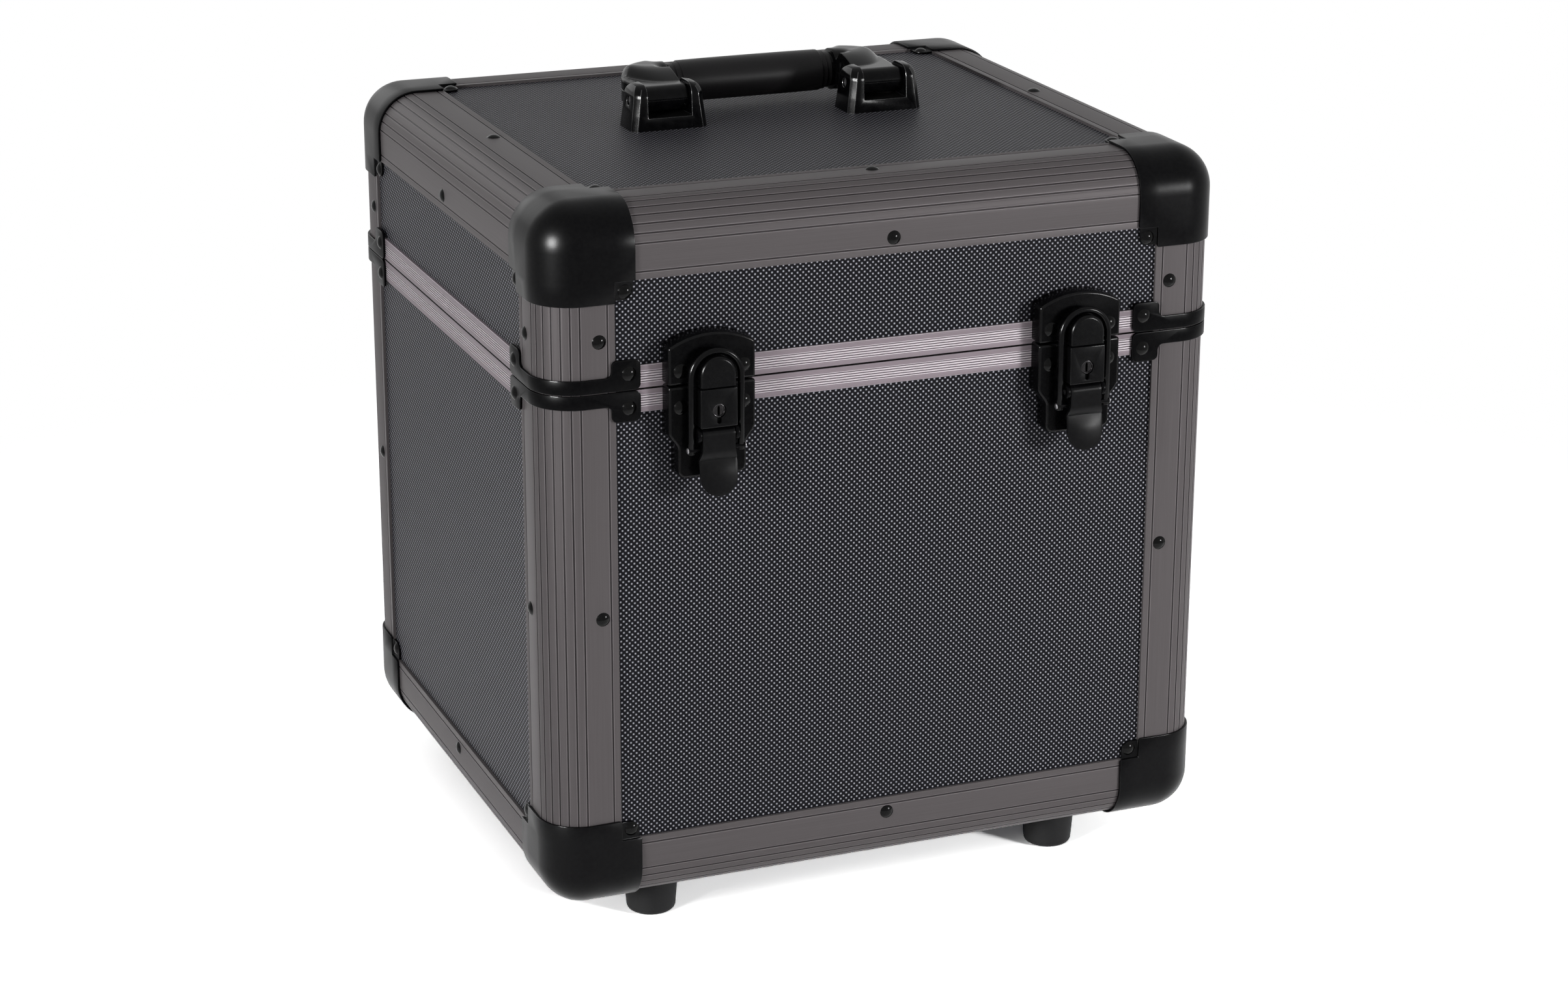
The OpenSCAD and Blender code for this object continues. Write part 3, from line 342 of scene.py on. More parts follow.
def corner_place(sx, sy, sz):
    corner = Vector((sx * case_w / 2, sy * case_d / 2, case_h if sz > 0 else 0))
    return Matrix.Translation(corner) @ Matrix.Diagonal((-sx, -sy, -sz, 1))


def around(tone, by):
    """Two colours, one a little darker than a tone and one a little lighter."""
    return [linear(*[max(t + step, 0) for t in tone]) for step in (-by, by)]


def grained(name, rough, tones, scale, detail=0, spread=(0.3, 0.7), relief=(0.00001, 0.5), **finish):
    """A paint whose tone and relief follow a fine noise or, without detail, small cells."""
    paint, tree, shader = finish_called(name, rough, **finish)
    feeds = {"Vector": placed(tree, scale), "Scale": 1}
    if detail:
        grain = new_part(tree, "TexNoise", {**feeds, "Detail": detail}).outputs["Fac"]
    else:
        grain = new_part(tree, "TexVoronoi", feeds).outputs["Distance"]
    two_tones(tree, grain, shader, *tones, *spread)
    raised(tree, grain, shader, *relief)
    return paint


def brushed(name, tone, along, rough):
    scale = [2600.0] * 3
    scale[along] = 14.0
    return grained(name, rough, around(tone, 3), scale, 3, (0.25, 0.75), (0.00001, 0.1), metal=0.1,
                   specular=0.05)


def anodised(name, along, rough, *tones):
    """The paints of the lands, of the flutes' floors, darker as painted shade, and of the lips, lighter as a
    painted highlight, brushed along one axis.
    """
    return [brushed("%s_%s_%s" % (name, part, "xyz"[along]), tone, along, rough)
            for part, tone in zip(("land", "floor", "lip"), tones)]


def flutes_painted_shade_and_highlight(bar, paints, depth_of, deep):
    """Paints the lands; the flutes' walls and floors, with a darker painted shade; and their lips, with a
    lighter painted highlight; in that order of the paints.
    """
    for paint in paints:
        bar.data.materials.append(paint)
    for face in bar.data.polygons:
        depth = depth_of(face.center)
        # Faces down in the flutes get the dark paint, a painted shade; faces at the lips get the light one, a
        # painted highlight.
        if painted_shade_from < depth < deep + painted_shade_spare:
            face.material_index = 1
        elif painted_highlight_from < depth <= painted_shade_from:
            face.material_index = 2
        else:
            face.material_index = 0


def arc(cx, cy, r, start, end, steps):
    return [(cx + r * math.cos(math.radians(start + (end - start) * k / steps)),
             cy + r * math.sin(math.radians(start + (end - start) * k / steps))) for k in range(steps + 1)]


def fluted(at, width, deep, lip, lip_d, lean):
    """The lips, walls and floor of one flute; at(t, d) is the place t along the surface, d deep."""
    side = [(width / 2 + lip, 0), (width / 2, lip_d), (width / 2 - lean, deep)]
    return [at(-t, d) for t, d in side] + [at(t, d) for t, d in reversed(side)]


def nose_point(angle, deep):
    a = math.radians(180 + angle)
    return (nose_r + (nose_r - deep) * math.cos(a), nose_r + (nose_r - deep) * math.sin(a))


profile_flute = (flute_w, flute_d, 0.3, 0.1, 0.1)
per_mm = 180 / math.pi / nose_r
land = 90 / flutes / 4
outer_skin = [(0, leg)] + fluted(lambda t, d: (d, line_at + flute_w / 2 - t), *profile_flute)
for number in range(flutes):
    middle = (number + 0.5) * 90 / flutes
    outer_skin += [nose_point(middle - land * 2, 0), nose_point(middle - land * 1.4, 0)]
    outer_skin += fluted(lambda t, d: nose_point(middle + t * per_mm, d), *profile_flute)
    outer_skin += [nose_point(middle + land * 1.4, 0)]
outer_skin += [nose_point(90, 0)] + fluted(lambda t, d: (line_at + flute_w / 2 + t, d), *profile_flute)
outer_skin += [(leg, 0)]
inner_skin = [(leg, wall)] + arc(nose_r, nose_r, nose_r - wall, 270, 180, 10) + [(wall, leg)]
angle_skin = [(nose_r, wall), (nose_r, board_in), (inner_leg, board_in), (inner_leg, board_in + wall),
              (board_in + wall, board_in + wall), (board_in + wall, inner_leg), (board_in, inner_leg),
              (board_in, nose_r), (wall, nose_r), (wall, nose_r - wall), (board_in, nose_r - wall),
              (board_in, board_in), (nose_r - wall, board_in), (nose_r - wall, wall)]


def profile_bar(name, length, mitres):
    """A length of the profile along Z, its corner at the origin, with one or both of its ends mitred."""
    bar = made_one(*[bar_of(name, outline, profile_start, length - profile_start * mitres)
                     for outline in (outer_skin + inner_skin, angle_skin)])
    at_work(bar)
    for end in range(mitres):
        for way in (x_axis, y_axis):
            pick_all()
            bpy.ops.mesh.bisect(plane_co=z_axis * length * end, plane_no=way + z_axis * (2 * end - 1),
                                clear_outer=True, use_fill=True)
    laid_down()
    return smoothed(bar, 25)


def skin_depth(place):
    """How deep a place in a profile's section lies under its outer skin."""
    if min(place.x, place.y) > nose_r:
        return leg
    if max(place.x, place.y) > nose_r:
        return min(place.x, place.y)
    return nose_r - math.hypot(nose_r - place.x, nose_r - place.y)


# Tones of the lands, of the flutes' painted shade and of the lips' painted highlight.
profile_paints = [anodised("profile", along, 0.42, (87, 83, 84), (54, 51, 52), (116, 111, 113))
                  for along in range(3)]
to_x, to_y = (Matrix.Rotation(math.radians(a), 4, Vector((1, 1, 1))) for a in (120, 240))
front_back, left_right = {-1: "front", 1: "back"}, {-1: "left", 1: "right"}
corners = [(sx, sy, front_back[sy] + "_" + left_right[sx]) for sx in (-1, 1) for sy in (-1, 1)]
halves = (("body", -1, "bottom"), ("lid", 1, "top"))

long_post = profile_bar("long_post", parting_z - half_gap, 1)
short_post = profile_bar("short_post", case_h - parting_z - half_gap, 1)
wide_edge = profile_bar("wide_edge", case_w, 2)
deep_edge = profile_bar("deep_edge", case_d, 2)
for bar, along in ((long_post, 2), (short_post, 2), (wide_edge, 0), (deep_edge, 1)):
    flutes_painted_shade_and_highlight(bar, profile_paints[along], skin_depth, flute_d)
for sx, sy, spot in corners:
    set_in(long_post, "profile_post_" + spot, corner_place(sx, sy, -1), "body",
           "post_" + spot)
    set_in(short_post, "profile_lid_post_" + spot, corner_place(sx, sy, 1), "lid",
           "lid_posts")
for body, sz, level_word in halves:
    for s in (-1, 1):
        set_in(wide_edge, "profile_%s_%s" % (level_word, front_back[s]), corner_place(-1, s, sz) @ to_x, body,
               "%s_edge_%s" % (level_word, front_back[s]))
        set_in(deep_edge, "profile_%s_%s" % (level_word, left_right[s]), corner_place(s, -1, sz) @ to_y, body,
               "%s_edge_%s" % (level_word, left_right[s]))
put_away(long_post, short_post, wide_edge, deep_edge)


# Parting rims: lighter anodised aluminium lengths that hold the boards' edges, with five fine flutes outside.
# The body's rim has a tongue that enters a groove in the lid's rim. The posts cover their ends.
rim_h, rim_web = 12.3, 1.5
rim_flutes, rim_flute_d, rim_flutes_at, rim_flute_pitch = 5, 0.35, 3.7, 1.3
rim_flute = (0.6, rim_flute_d, 0.25, 0.09, 0.08)
tongue_h, tongue_t, tongue_u, tongue_play = 3, 1.5, 4.6, 0.4
slot_top = tongue_h + 0.6

rim_leg = [(wall, half_gap), (0.5, half_gap), (0, half_gap + 0.3)]
for number in range(rim_flutes):
    flute_z = rim_flutes_at + number * rim_flute_pitch
    rim_leg += fluted(lambda t, d: (d, flute_z + t), *rim_flute)
rim_leg += [(0, rim_h - 0.15), (0.15, rim_h), (wall, rim_h)]
rim_inner = [(board_in, half_gap), (board_in, rim_h), (board_in + wall, rim_h), (board_in + wall, half_gap)]
body_web = [(wall, half_gap), (wall, half_gap + rim_web), (board_in, half_gap + rim_web),
            (board_in, half_gap)]
tongue = [(tongue_u - tongue_t / 2, half_gap), (tongue_u + tongue_t / 2, half_gap),
          (tongue_u + tongue_t / 4, half_gap - tongue_h), (tongue_u - tongue_t / 2, half_gap - tongue_h)]
near, far = tongue_u - tongue_t / 2 - tongue_play, tongue_u + tongue_t / 2 + tongue_play
top = half_gap + slot_top + rim_web
channel = [(wall, half_gap), (near, half_gap), (near, half_gap + slot_top), (far, half_gap + slot_top),
           (far, half_gap), (board_in, half_gap), (board_in, top), (wall, top)]


def rim_length(name, span, *outlines):
    """Outlines in (depth into the case, height from the parting line), each with its cut at the ends."""
    parts = [bar_of(name, outline, short, span - 2 * short) for outline, short in outlines]
    return smoothed(made_one(*parts), 25)


rim_frame = Matrix(((0, 0, 1, 0), (1, 0, 0, 0), (0, 1, 0, 0), (0, 0, 0, 1)))
# A dark paint for the faces at the parting line: painted shade in the V of the seam between the rims.
painted_seam_shade = brushed("painted_seam_shade", (25, 23, 24), 0, 0.6)
for span, away, along, turns in ((case_w, case_d / 2, 0, (0, 180)), (case_d, case_w / 2, 1, (90, 270))):
    # Tones of the rims' lands, of the flutes' painted shade and of the lips' painted highlight; the last
    # paint is the seam's painted shade.
    rim_paints = anodised("rim", along, 0.38, (134, 124, 130), (92, 84, 88), (222, 213, 219)) + [painted_seam_shade]
    lower = rim_length("rim_lower", span, (rim_leg, leg), (rim_inner, inner_leg), (body_web, nose_r),
                       (tongue, nose_r + tongue_play))
    upper = rim_length("rim_upper", span, (rim_leg, leg), (rim_inner, inner_leg), (channel, nose_r))
    for pattern in (lower, upper):
        flutes_painted_shade_and_highlight(pattern, rim_paints, lambda place: place.x, rim_flute_d)
        # The faces at the seam take the dark paint: painted shade.
        for face in pattern.data.polygons:
            if face.center.y < half_gap + 0.2 and face.center.x < wall:
                face.material_index = rim_paints.index(painted_seam_shade)
    for quarter in turns:
        stand = (Matrix.Translation((0, 0, parting_z)) @ Matrix.Rotation(math.radians(quarter), 4, "Z")
                 @ Matrix.Translation((-span / 2, -away, 0)))
        set_in(lower, "rim_body_%d" % quarter, stand @ Matrix.Diagonal((1, 1, -1, 1)) @ rim_frame, "body",
               "body_rims")
        set_in(upper, "rim_lid_%d" % quarter, stand @ rim_frame, "lid", "lid_rims")
    put_away(lower, upper)


# Ball corner caps: pressed black steel shells over the ends of three profiles, with a rounded tab on each
# face that drops to the board and takes a rivet.
cap_reach, cap_t, seat_gap, tab_reach, tab_round, strip_area = 49, 1.5, 0.05, 47.8, 5, 30


def enamel(name, rough, tone, peel, specular, size=500):
    return grained(name, rough, around(tone, 3), (size,) * 3, 2, relief=(peel, 0.5), specular=specular)


def walled(piece, thickness, edge, steps=2, degrees=35, paints=()):
    """Gives an open shell its thickness, inwards, and rounds its edges."""
    take(piece)
    shell = piece.modifiers.new("shell", "SOLIDIFY")
    shell.thickness = thickness
    shell.offset = -1
    shell.use_even_offset = True
    bpy.ops.object.modifier_apply(modifier="shell")
    return edged(piece, edge, steps, degrees, paints)


def edged(piece, edge, steps=2, degrees=35, paints=()):
    """Rounds the sharp edges. Of two paints, the second goes on the rounded edges."""
    for paint in paints:
        piece.data.materials.append(paint)
    take(piece)
    rounding = piece.modifiers.new("rounding", "BEVEL")
    rounding.width = edge
    rounding.segments = steps
    rounding.limit_method = "ANGLE"
    rounding.angle_limit = math.radians(degrees)
    rounding.material = len(paints) - 1
    bpy.ops.object.modifier_apply(modifier="rounding")
    return smoothed(piece, degrees)


def level(item, axis, value):
    """Whether an edge or a face lies at one value of an axis."""
    return all(abs(v.co[axis] - value) < 0.01 for v in item.verts)


def block(name, low, high):
    bpy.ops.object.select_all(action="DESELECT")
    low, high = Vector(low), Vector(high)
    bpy.ops.mesh.primitive_cube_add(size=1, location=(low + high) / 2, scale=high - low)
    bpy.context.object.name = name
    bpy.ops.object.transform_apply(location=True, rotation=True, scale=True)
    return bpy.context.object


def sliced(axis, places):
    """Adds a cut across the piece at work at each place on an axis. Both sides stay."""
    for place in places:
        pick_all()
        bpy.ops.mesh.bisect(plane_co=axis * place, plane_no=axis)


skin = -cap_t - seat_gap
cap = block("cap", (skin,) * 3, (cap_reach,) * 3)
at_work(cap)
pick("edges", lambda e: sum(level(e, a, skin) for a in range(3)) == 2)
bpy.ops.mesh.bevel(offset=nose_r - skin, segments=14, profile=0.5, affect="EDGES")
pick("faces", lambda f: any(level(f, a, cap_reach) for a in range(3)))
bpy.ops.mesh.delete(type="FACE")
for way in axes:
    sliced(way, [leg])
for axis in range(3):
    u, v = (axis + 1) % 3, (axis + 2) % 3
    pick("faces", lambda f: level(f, axis, skin) and min(min(p.co[u], p.co[v]) for p in f.verts) > leg - 0.01)
    drawn_out(*axes[axis] * wall)
    pick("faces", lambda f: (level(f, u, cap_reach) or level(f, v, cap_reach)) and f.calc_area() < strip_area
         and max(p.co[axis] for p in f.verts) < 1)
    bpy.ops.mesh.delete(type="FACE")
    for along in (u, v):
        pick("verts", lambda p: abs(p.co[axis] - skin - wall) < 0.01 and abs(p.co[along] - cap_reach) < 0.01)
        bpy.ops.transform.translate(value=axes[along] * (tab_reach - cap_reach))
    pick("verts", lambda p: abs(p.co[axis] - skin - wall) < 0.01 and min(p.co[u], p.co[v]) > tab_reach - 0.1)
    bpy.ops.mesh.bevel(offset=tab_round, segments=6, affect="VERTICES")
closed(0.001)
flat_side = next(f for f in cap.data.polygons if abs(f.center.z - skin) < 0.01)
if flat_side.normal.z > 0:
    cap.data.flip_normals()
# A paint for the rounded edges of caps, braces, dishes, housings and levers, a little lighter and glossier
# than their faces: a painted highlight along the edges.
edge_highlight = enamel("edge_highlight", 0.16, (8, 8, 9), 0.00002, 0.1)
walled(cap, cap_t, 0.35, paints=[enamel("cap_enamel", 0.3, (3, 3, 4), 0.00003, 0.065), edge_highlight])
for body, sz, level_word in halves:
    for sx, sy, spot in corners:
        set_in(cap, "cap_%s_%s" % (level_word, spot), corner_place(sx, sy, sz), body,
               level_word + "_corner_caps")
put_away(cap)


# Corner braces: black steel strips bent round each upright edge just above and below the parting line,
# with a riveted ear on the boards at each end.
brace_band, brace_reach, ear_w, ear_h, ear_round, brace_t, brace_play = 7.4, 51, 15.5, 16, 3, 1.5, 0.3


def whole(half, *middle):
    """An outline from its right half, which is repeated on the left behind the points in the middle."""
    return half + list(middle) + [(-x, y) for x, y in reversed(half)]


bend_r = nose_r + seat_gap + brace_t
bend = bend_r * math.pi / 4
end = bend + brace_reach - nose_r
low, band, high, ear = brace_play, brace_play + brace_band, brace_play + ear_h, end - ear_w
brace = flat_piece("brace", whole(arc(end - ear_round, low + ear_round, ear_round, 270, 360, 5)
                                  + arc(end - ear_round, high - ear_round, ear_round, 0, 90, 5)
                                  + arc(ear + ear_round, high - ear_round, ear_round, 90, 180, 5)
                                  + arc(ear - ear_round, band + ear_round, ear_round, 360, 270, 5)))
sliced(x_axis, [bend * step / 7 for step in range(-7, 8)])
laid_down()
for point in brace.data.vertices:
    along, height = point.co.x, point.co.y
    if along > bend:
        point.co = (nose_r + along - bend, skin, height)
    elif along < -bend:
        point.co = (skin, nose_r - along - bend, height)
    else:
        a = math.radians(225) + along / bend_r
        point.co = (nose_r + bend_r * math.cos(a), nose_r + bend_r * math.sin(a), height)
ear_side = max(brace.data.polygons, key=lambda f: f.center.x)
if ear_side.normal.y > 0:
    brace.data.flip_normals()
walled(brace, brace_t, 0.3, paints=[enamel("brace_enamel", 0.32, (5, 5, 6), 0.00003, 0.035), edge_highlight])
for sx, sy, spot in corners:
    edge = Matrix.Translation((sx * case_w / 2, sy * case_d / 2, parting_z))
    for body, sz, level_word in halves:
        set_in(brace, "brace_%s_%s" % (body, spot), edge @ Matrix.Diagonal((-sx, -sy, sz, 1)), body,
               body + "_corner_braces")
put_away(brace)


# Rivets: black domed heads that hold profiles, caps, braces, latches and hinges to the boards.
# Each half of the case has its heads in one piece.
head_r, head_h = 3.8, 1.5
post_inset, cap_inset, brace_inset, brace_rise = 29.5, 43.5, 44.75, 9.0
latch_x, latch_span, latch_rise, base_rivet_y, keeper_rivet_y = 103.5, 34, 9.5, -9.3, 9.8
hinge_x, hinge_w, hinge_t, hinge_rivet_rise = 100, 56, 1.8, 19.65
hinge_rivet_pitch = hinge_w * 0.36


def turned(name, outline, steps, degrees=40):
    """An outline in (radius, height), turned about Z."""
    piece = chain(name, [(r, 0, z) for r, z in outline])
    pick_all()
    bpy.ops.mesh.spin(steps=steps, angle=math.radians(360), center=(0, 0, 0), axis=(0, 0, 1))
    closed(0.001)
    return smoothed(piece, degrees)


dome_r = (head_r * head_r + head_h * head_h) / (2 * head_h)
sweep = math.degrees(math.asin(head_r / dome_r))
rivet = turned("rivet", arc(0, head_h - dome_r, dome_r, 90, 90 - sweep, 6) + [(head_r, 0), (0, 0)], 20, 50)
rivet.data.materials.append(enamel("rivet_enamel", 0.12, (7, 7, 7), 0.00001, 0.09))

tab_seat = cap_t + seat_gap - wall
for body, sz, level_word in halves:
    w, d, face_z = case_w / 2, case_d / 2, case_h if sz > 0 else 0
    face_way, inward = (0, 0, sz), abs(face_z - post_inset)
    post_z = (abs(face_z - cap_reach) + parting_z + sz * brace_band) / 2
    spots = []
    for sx in (-1, 1):
        spots += [((sx * w, 0, inward), (sx, 0, 0), 0), ((sx * (w - post_inset), 0, face_z), face_way, 0)]
        for sy in (-1, 1):
            for inset, z, seat in ((post_inset, post_z, 0), (cap_inset, abs(face_z - cap_inset), tab_seat),
                                   (brace_inset, parting_z + sz * brace_rise, brace_t + seat_gap)):
                spots += [((sx * (w - inset), sy * d, z), (0, sy, 0), seat),
                          ((sx * w, sy * (d - inset), z), (sx, 0, 0), seat)]
            spots.append(((sx * (w - cap_inset), sy * (d - cap_inset), face_z), face_way, tab_seat))
        for k in (-1, 1):
            spots.append(((sx * latch_x + k * latch_span / 2, -d,
                           parting_z + (keeper_rivet_y if sz > 0 else base_rivet_y)), (0, -1, 0), latch_rise))
        for k in (-1, 0, 1):
            spots.append(((sx * hinge_x + k * hinge_rivet_pitch, d, parting_z + sz * hinge_rivet_rise),
                          (0, 1, 0), hinge_t))
    for sy in (-1, 1):
        spots += [((0, sy * d, inward), (0, sy, 0), 0), ((0, sy * (d - post_inset), face_z), face_way, 0)]
    heads = []
    for at, way, seat in spots:
        head, way = copied(rivet, "rivet_head"), Vector(way)
        heads.append(moved(head, Matrix.Translation(Vector(at) + way * seat)
                           @ way.to_track_quat("Z", "Y").to_matrix().to_4x4()))
    all_heads = made_one(*heads)
    set_in(all_heads, "rivets_" + body, Matrix(), body, body + "_rivets")
    put_away(all_heads)
put_away(rivet)


# Linings: a thin dark foam with open cells, glued inside the body and the lid, up to the rims. It keeps the
# record sleeves off the boards.
painted(["body_lining", "lid_lining"],
        grained("lining_foam", 0.95, (linear(30, 30, 32), linear(54, 54, 57)), (900,) * 3, spread=(0, 1),
                relief=(0.0003, 0.7), specular=0.15))


# Feet: moulded rubber cones with a groove near the top, each held to the bottom board by a zinc-plated
# screw with a cross recess, in a deep well.
foot_top, foot_base, foot_round, well_r, well_h, screw_r = 15.5, 13.5, 3, 6.2, 15, 2.2
screw_head_r, screw_head_h, screw_bite, drive_w, drive_d = 5.5, 2.5, 6.1, 0.6, 1.4
foot_x, foot_inset = 120, 45.5


def cut_out(piece, *cutters):
    for cutter in cutters:
        take(piece)
        hollow = piece.modifiers.new("hollow", "BOOLEAN")
        hollow.operation = "DIFFERENCE"
        hollow.object = cutter
        bpy.ops.object.modifier_apply(modifier="hollow")
    put_away(*cutters)
    return piece


well_top = well_h - 0.01
foot = turned("foot", [(screw_r, well_top), (well_r - 0.4, well_top), (well_r, well_h - 0.6), (well_r, 0.5),
                       (well_r + 0.4, 0)] + arc(foot_base - foot_round, foot_round, foot_round, -90, 0, 6)
              + [(r, foot_h - drop) for r, drop in ((14.9, 5.2), (14.6, 4.6), (14.7, 4.1), (foot_top, 3.6),
                                                    (foot_top, 0.6), (foot_top - 0.6, 0), (6.5, 0),
                                                    (6.5, -wall), (screw_r, -wall))]
              + [(screw_r, well_top)], 40, 50)
foot.data.materials.append(enamel("foot_rubber", 0.6, (17, 17, 18), 0.00006, 0.15, 1400))
head_under = well_h - screw_head_h
screw = turned("foot_screw", [(0, head_under), (screw_head_r - 0.9, head_under),
                              (screw_head_r - 0.3, head_under + 0.3), (screw_head_r, head_under + 0.8),
                              (screw_head_r, well_h), (screw_r, well_h), (screw_r, foot_h + screw_bite),
                              (0, foot_h + screw_bite)], 24)
recess = (head_under - 1.5, head_under + drive_d)
cut_out(screw, block("drive_wide", (-3, -drive_w, recess[0]), (3, drive_w, recess[1])),
        block("drive_deep", (-drive_w, -3, recess[0]), (drive_w, 3, recess[1])))
smoothed(screw, 40)
screw.data.materials.append(grained("screw_zinc", 0.35, around((150, 150, 152), 12), (1200,) * 3,
                                    spread=(0.2, 0.8), metal=1.0))
for sx, sy, spot in corners:
    under = Matrix.Translation((sx * foot_x, sy * (case_d / 2 - foot_inset), -foot_h))
    set_in(foot, "foot_" + spot, under, "body", "feet")
    set_in(screw, "foot_screw_" + spot, under, "body", "foot_screws")
put_away(foot, screw)


# Latch keepers: pressed black steel dishes with an arched top, riveted over the lid's rim and board. Each
# carries a thick D-shaped catch, rounded along its top, that the bail hooks over.
latch_w, latch_reach, latch_sheet, dish_edge, dish_sink = 47, 19.5, 1.5, 1.3, 0.7
keeper_low, keeper_h, keeper_arch = 2.4, 26.2, 46
catch_r, catch_top, catch_round = 9.7, 18.3, 2.0
black_enamel = enamel("black_enamel", 0.25, (5, 5, 6), 0.00003, 0.035)


def on_latches(patterns, body, stands_for, at=(0, 0, 0)):
    """Sets named pieces in both latches, whose frame has X across, Y up from the parting line and Z out."""
    for side, x in (("left", -latch_x), ("right", latch_x)):
        front = Matrix.Translation((x, -case_d / 2, parting_z)) @ Matrix.Rotation(math.radians(90), 4, "X")
        rides = body if body in ("body", "lid") else body + "_" + side
        for name, pattern in patterns.items():
            set_in(pattern, name + "_" + side, front @ Matrix.Translation(at), rides,
                   stands_for + "_" + side)
    put_away(*patterns.values())


def pressed_dish(name, outline):
    """A dish pressed from sheet, its face at the latch's rise, its walls down to the boards and the rim."""
    dish = bar_of(name, outline, -wall, latch_rise + wall)
    at_work(dish)
    pick("faces", lambda f: level(f, 2, -wall))
    bpy.ops.mesh.delete(type="FACE")
    sliced(y_axis, [-rim_h - 0.4, -rim_h - 0.3, rim_h + 0.3, rim_h + 0.4])
    pick("verts", lambda v: abs(v.co.z + wall) < 0.01 and abs(v.co.y) < rim_h + 0.35)
    bpy.ops.transform.translate(value=(0, 0, wall))
    laid_down()
    edged(dish, dish_edge, 4, 50, [black_enamel, edge_highlight])
    return walled(dish, latch_sheet, 0.25)


half_arch = math.degrees(math.asin(latch_w / 2 / keeper_arch))
keeper = pressed_dish("keeper", [(-latch_w / 2, keeper_low), (latch_w / 2, keeper_low)] + arc(
    0, keeper_low + keeper_h - keeper_arch, keeper_arch, 90 - half_arch, 90 + half_arch, 24))
catch = bar_of("catch", [(-catch_r, keeper_low), (catch_r, keeper_low)]
               + arc(0, catch_top - catch_r, catch_r, 0, 180, 28), latch_rise - dish_sink,
               latch_reach - latch_rise + dish_sink)
catch.data.materials.append(enamel("catch_enamel", 0.22, (6, 6, 7), 0.00003, 0.08))
at_work(catch)
pick("edges", lambda e: level(e, 2, latch_reach) and not level(e, 1, keeper_low))
bpy.ops.mesh.bevel(offset=catch_round, segments=6, profile=0.5, affect="EDGES")
laid_down()
on_latches({"latch_keeper": smoothed(made_one(keeper, smoothed(catch, 35)), 35)}, "lid", "keeper")


# Latch bases: pressed black steel dishes below the parting line that narrow in an easy curve, with two
# lugs for the lever's pin. They are riveted through the rim to the front board.
base_top, base_h, base_step, base_wide, base_taper, base_round = 1.6, 49, 5, 24, 10, 4
lever_drop, lever_rise, lever_w, lug_gap, lug_t, lug_r = 23.3, 15.5, 17.6, 0.4, 2.1, 4


def between(value):
    """A value held between 0 and 1."""
    return min(1, max(0, value))


def base_side(d):
    narrowing = between((d - base_wide) / base_taper)
    return latch_w / 2 - base_step * (1 - math.cos(math.pi * narrowing)) / 2


def upright_pair(name, outline, apart, thick, edge):
    """Two like plates that stand across a latch, one on each side of its middle."""
    return [edged(moved(bar_of(name, outline, k * apart - thick / 2, thick), rim_frame), edge,
                  paints=[black_enamel]) for k in (-1, 1)]


side_line = [(latch_w / 2, 0)]
side_line += [(base_side(d), -d) for d in [base_wide + base_taper * k / 10 for k in range(11)]]
side_line += arc(base_side(base_h) - base_round, base_round - base_h, base_round, 0, -90, 6)
base = pressed_dish("base", [(x, y + base_top) for x, y in whole(side_line)])
lug_foot = [(-lever_drop - lug_r, latch_rise - dish_sink), (-lever_drop + lug_r, latch_rise - dish_sink)]
lugs = upright_pair("lug", lug_foot + arc(-lever_drop, lever_rise, lug_r, 0, 180, 14),
                    lever_w / 2 + lug_gap + lug_t / 2, lug_t, 0.3)
on_latches({"latch_dish": smoothed(made_one(base, *lugs), 35)}, "body", "latch_base")


# Key housings: black die-cast blocks on the bases, with a bore for the lock cylinder and a narrow notch
# below it where the key's bit turns. The lock's cam is inside.
box_w, box_h, key_drop, barrel_r, notch_w, notch_low = 20, 20.5, 10, 3.75, 2.4, 16.9
housing = block("housing", (-box_w / 2, base_top - box_h, latch_rise - dish_sink),
                (box_w / 2, base_top, latch_reach))
edged(housing, 0.6, 3, 35, [enamel("housing_enamel", 0.34, (7, 7, 8), 0.00004, 0.055, 900), edge_highlight])
bore = bar_of("bore", arc(0, -key_drop, barrel_r, 0, 351, 39), latch_rise + 0.3, 20)
notch_r = notch_w / 2
notch = bar_of("notch", [(-notch_r, -key_drop)] + arc(0, -notch_low + notch_r, notch_r, 180, 360, 8)
               + [(notch_r, -key_drop)], latch_reach - 3, 8)
cut_out(housing, bore, notch)
on_latches({"key_box": edged(housing, 0.22, 2, 40)}, "body", "key_housing")


# Lock cylinders: dark nickel-plated barrels that turn in the housings, with a rounded rim round a sunk
# face and a key slot.
barrel_low, slot_half, slot_low, slot_high = latch_rise + 0.5, 0.65, -2.6, 2.3
barrel_foot = [(0, barrel_low), (barrel_r - 0.15, barrel_low), (barrel_r - 0.05, barrel_low + 0.1)]
barrel_rim = [(0.05, 1.0), (0.2, 0.65), (0.5, 0.55), (0.75, 0.65), (0.95, 1.15)]
barrel = turned("barrel", barrel_foot + [(barrel_r - inset, latch_reach - sunk) for inset, sunk in barrel_rim]
                + [(0, latch_reach - 1.35)], 36)
key_slot = [(-slot_half, slot_low), (slot_half, slot_low), (slot_half, slot_high - 1), (0.4, slot_high),
            (-0.4, slot_high), (-slot_half, slot_high - 1)]
cut_out(barrel, bar_of("key_slot", key_slot, latch_reach - 6.5, 9))
smoothed(barrel, 40)


def plated(name, tone, rough):
    return grained(name, rough, around(tone, 10), (1500, 1500, 300), 4, metal=1.0)


barrel.data.materials.append(plated("lock_nickel", (42, 41, 42), 0.22))
on_latches({"lock_barrel": barrel}, "lock", "lock_cylinder", (0, -key_drop, 0))


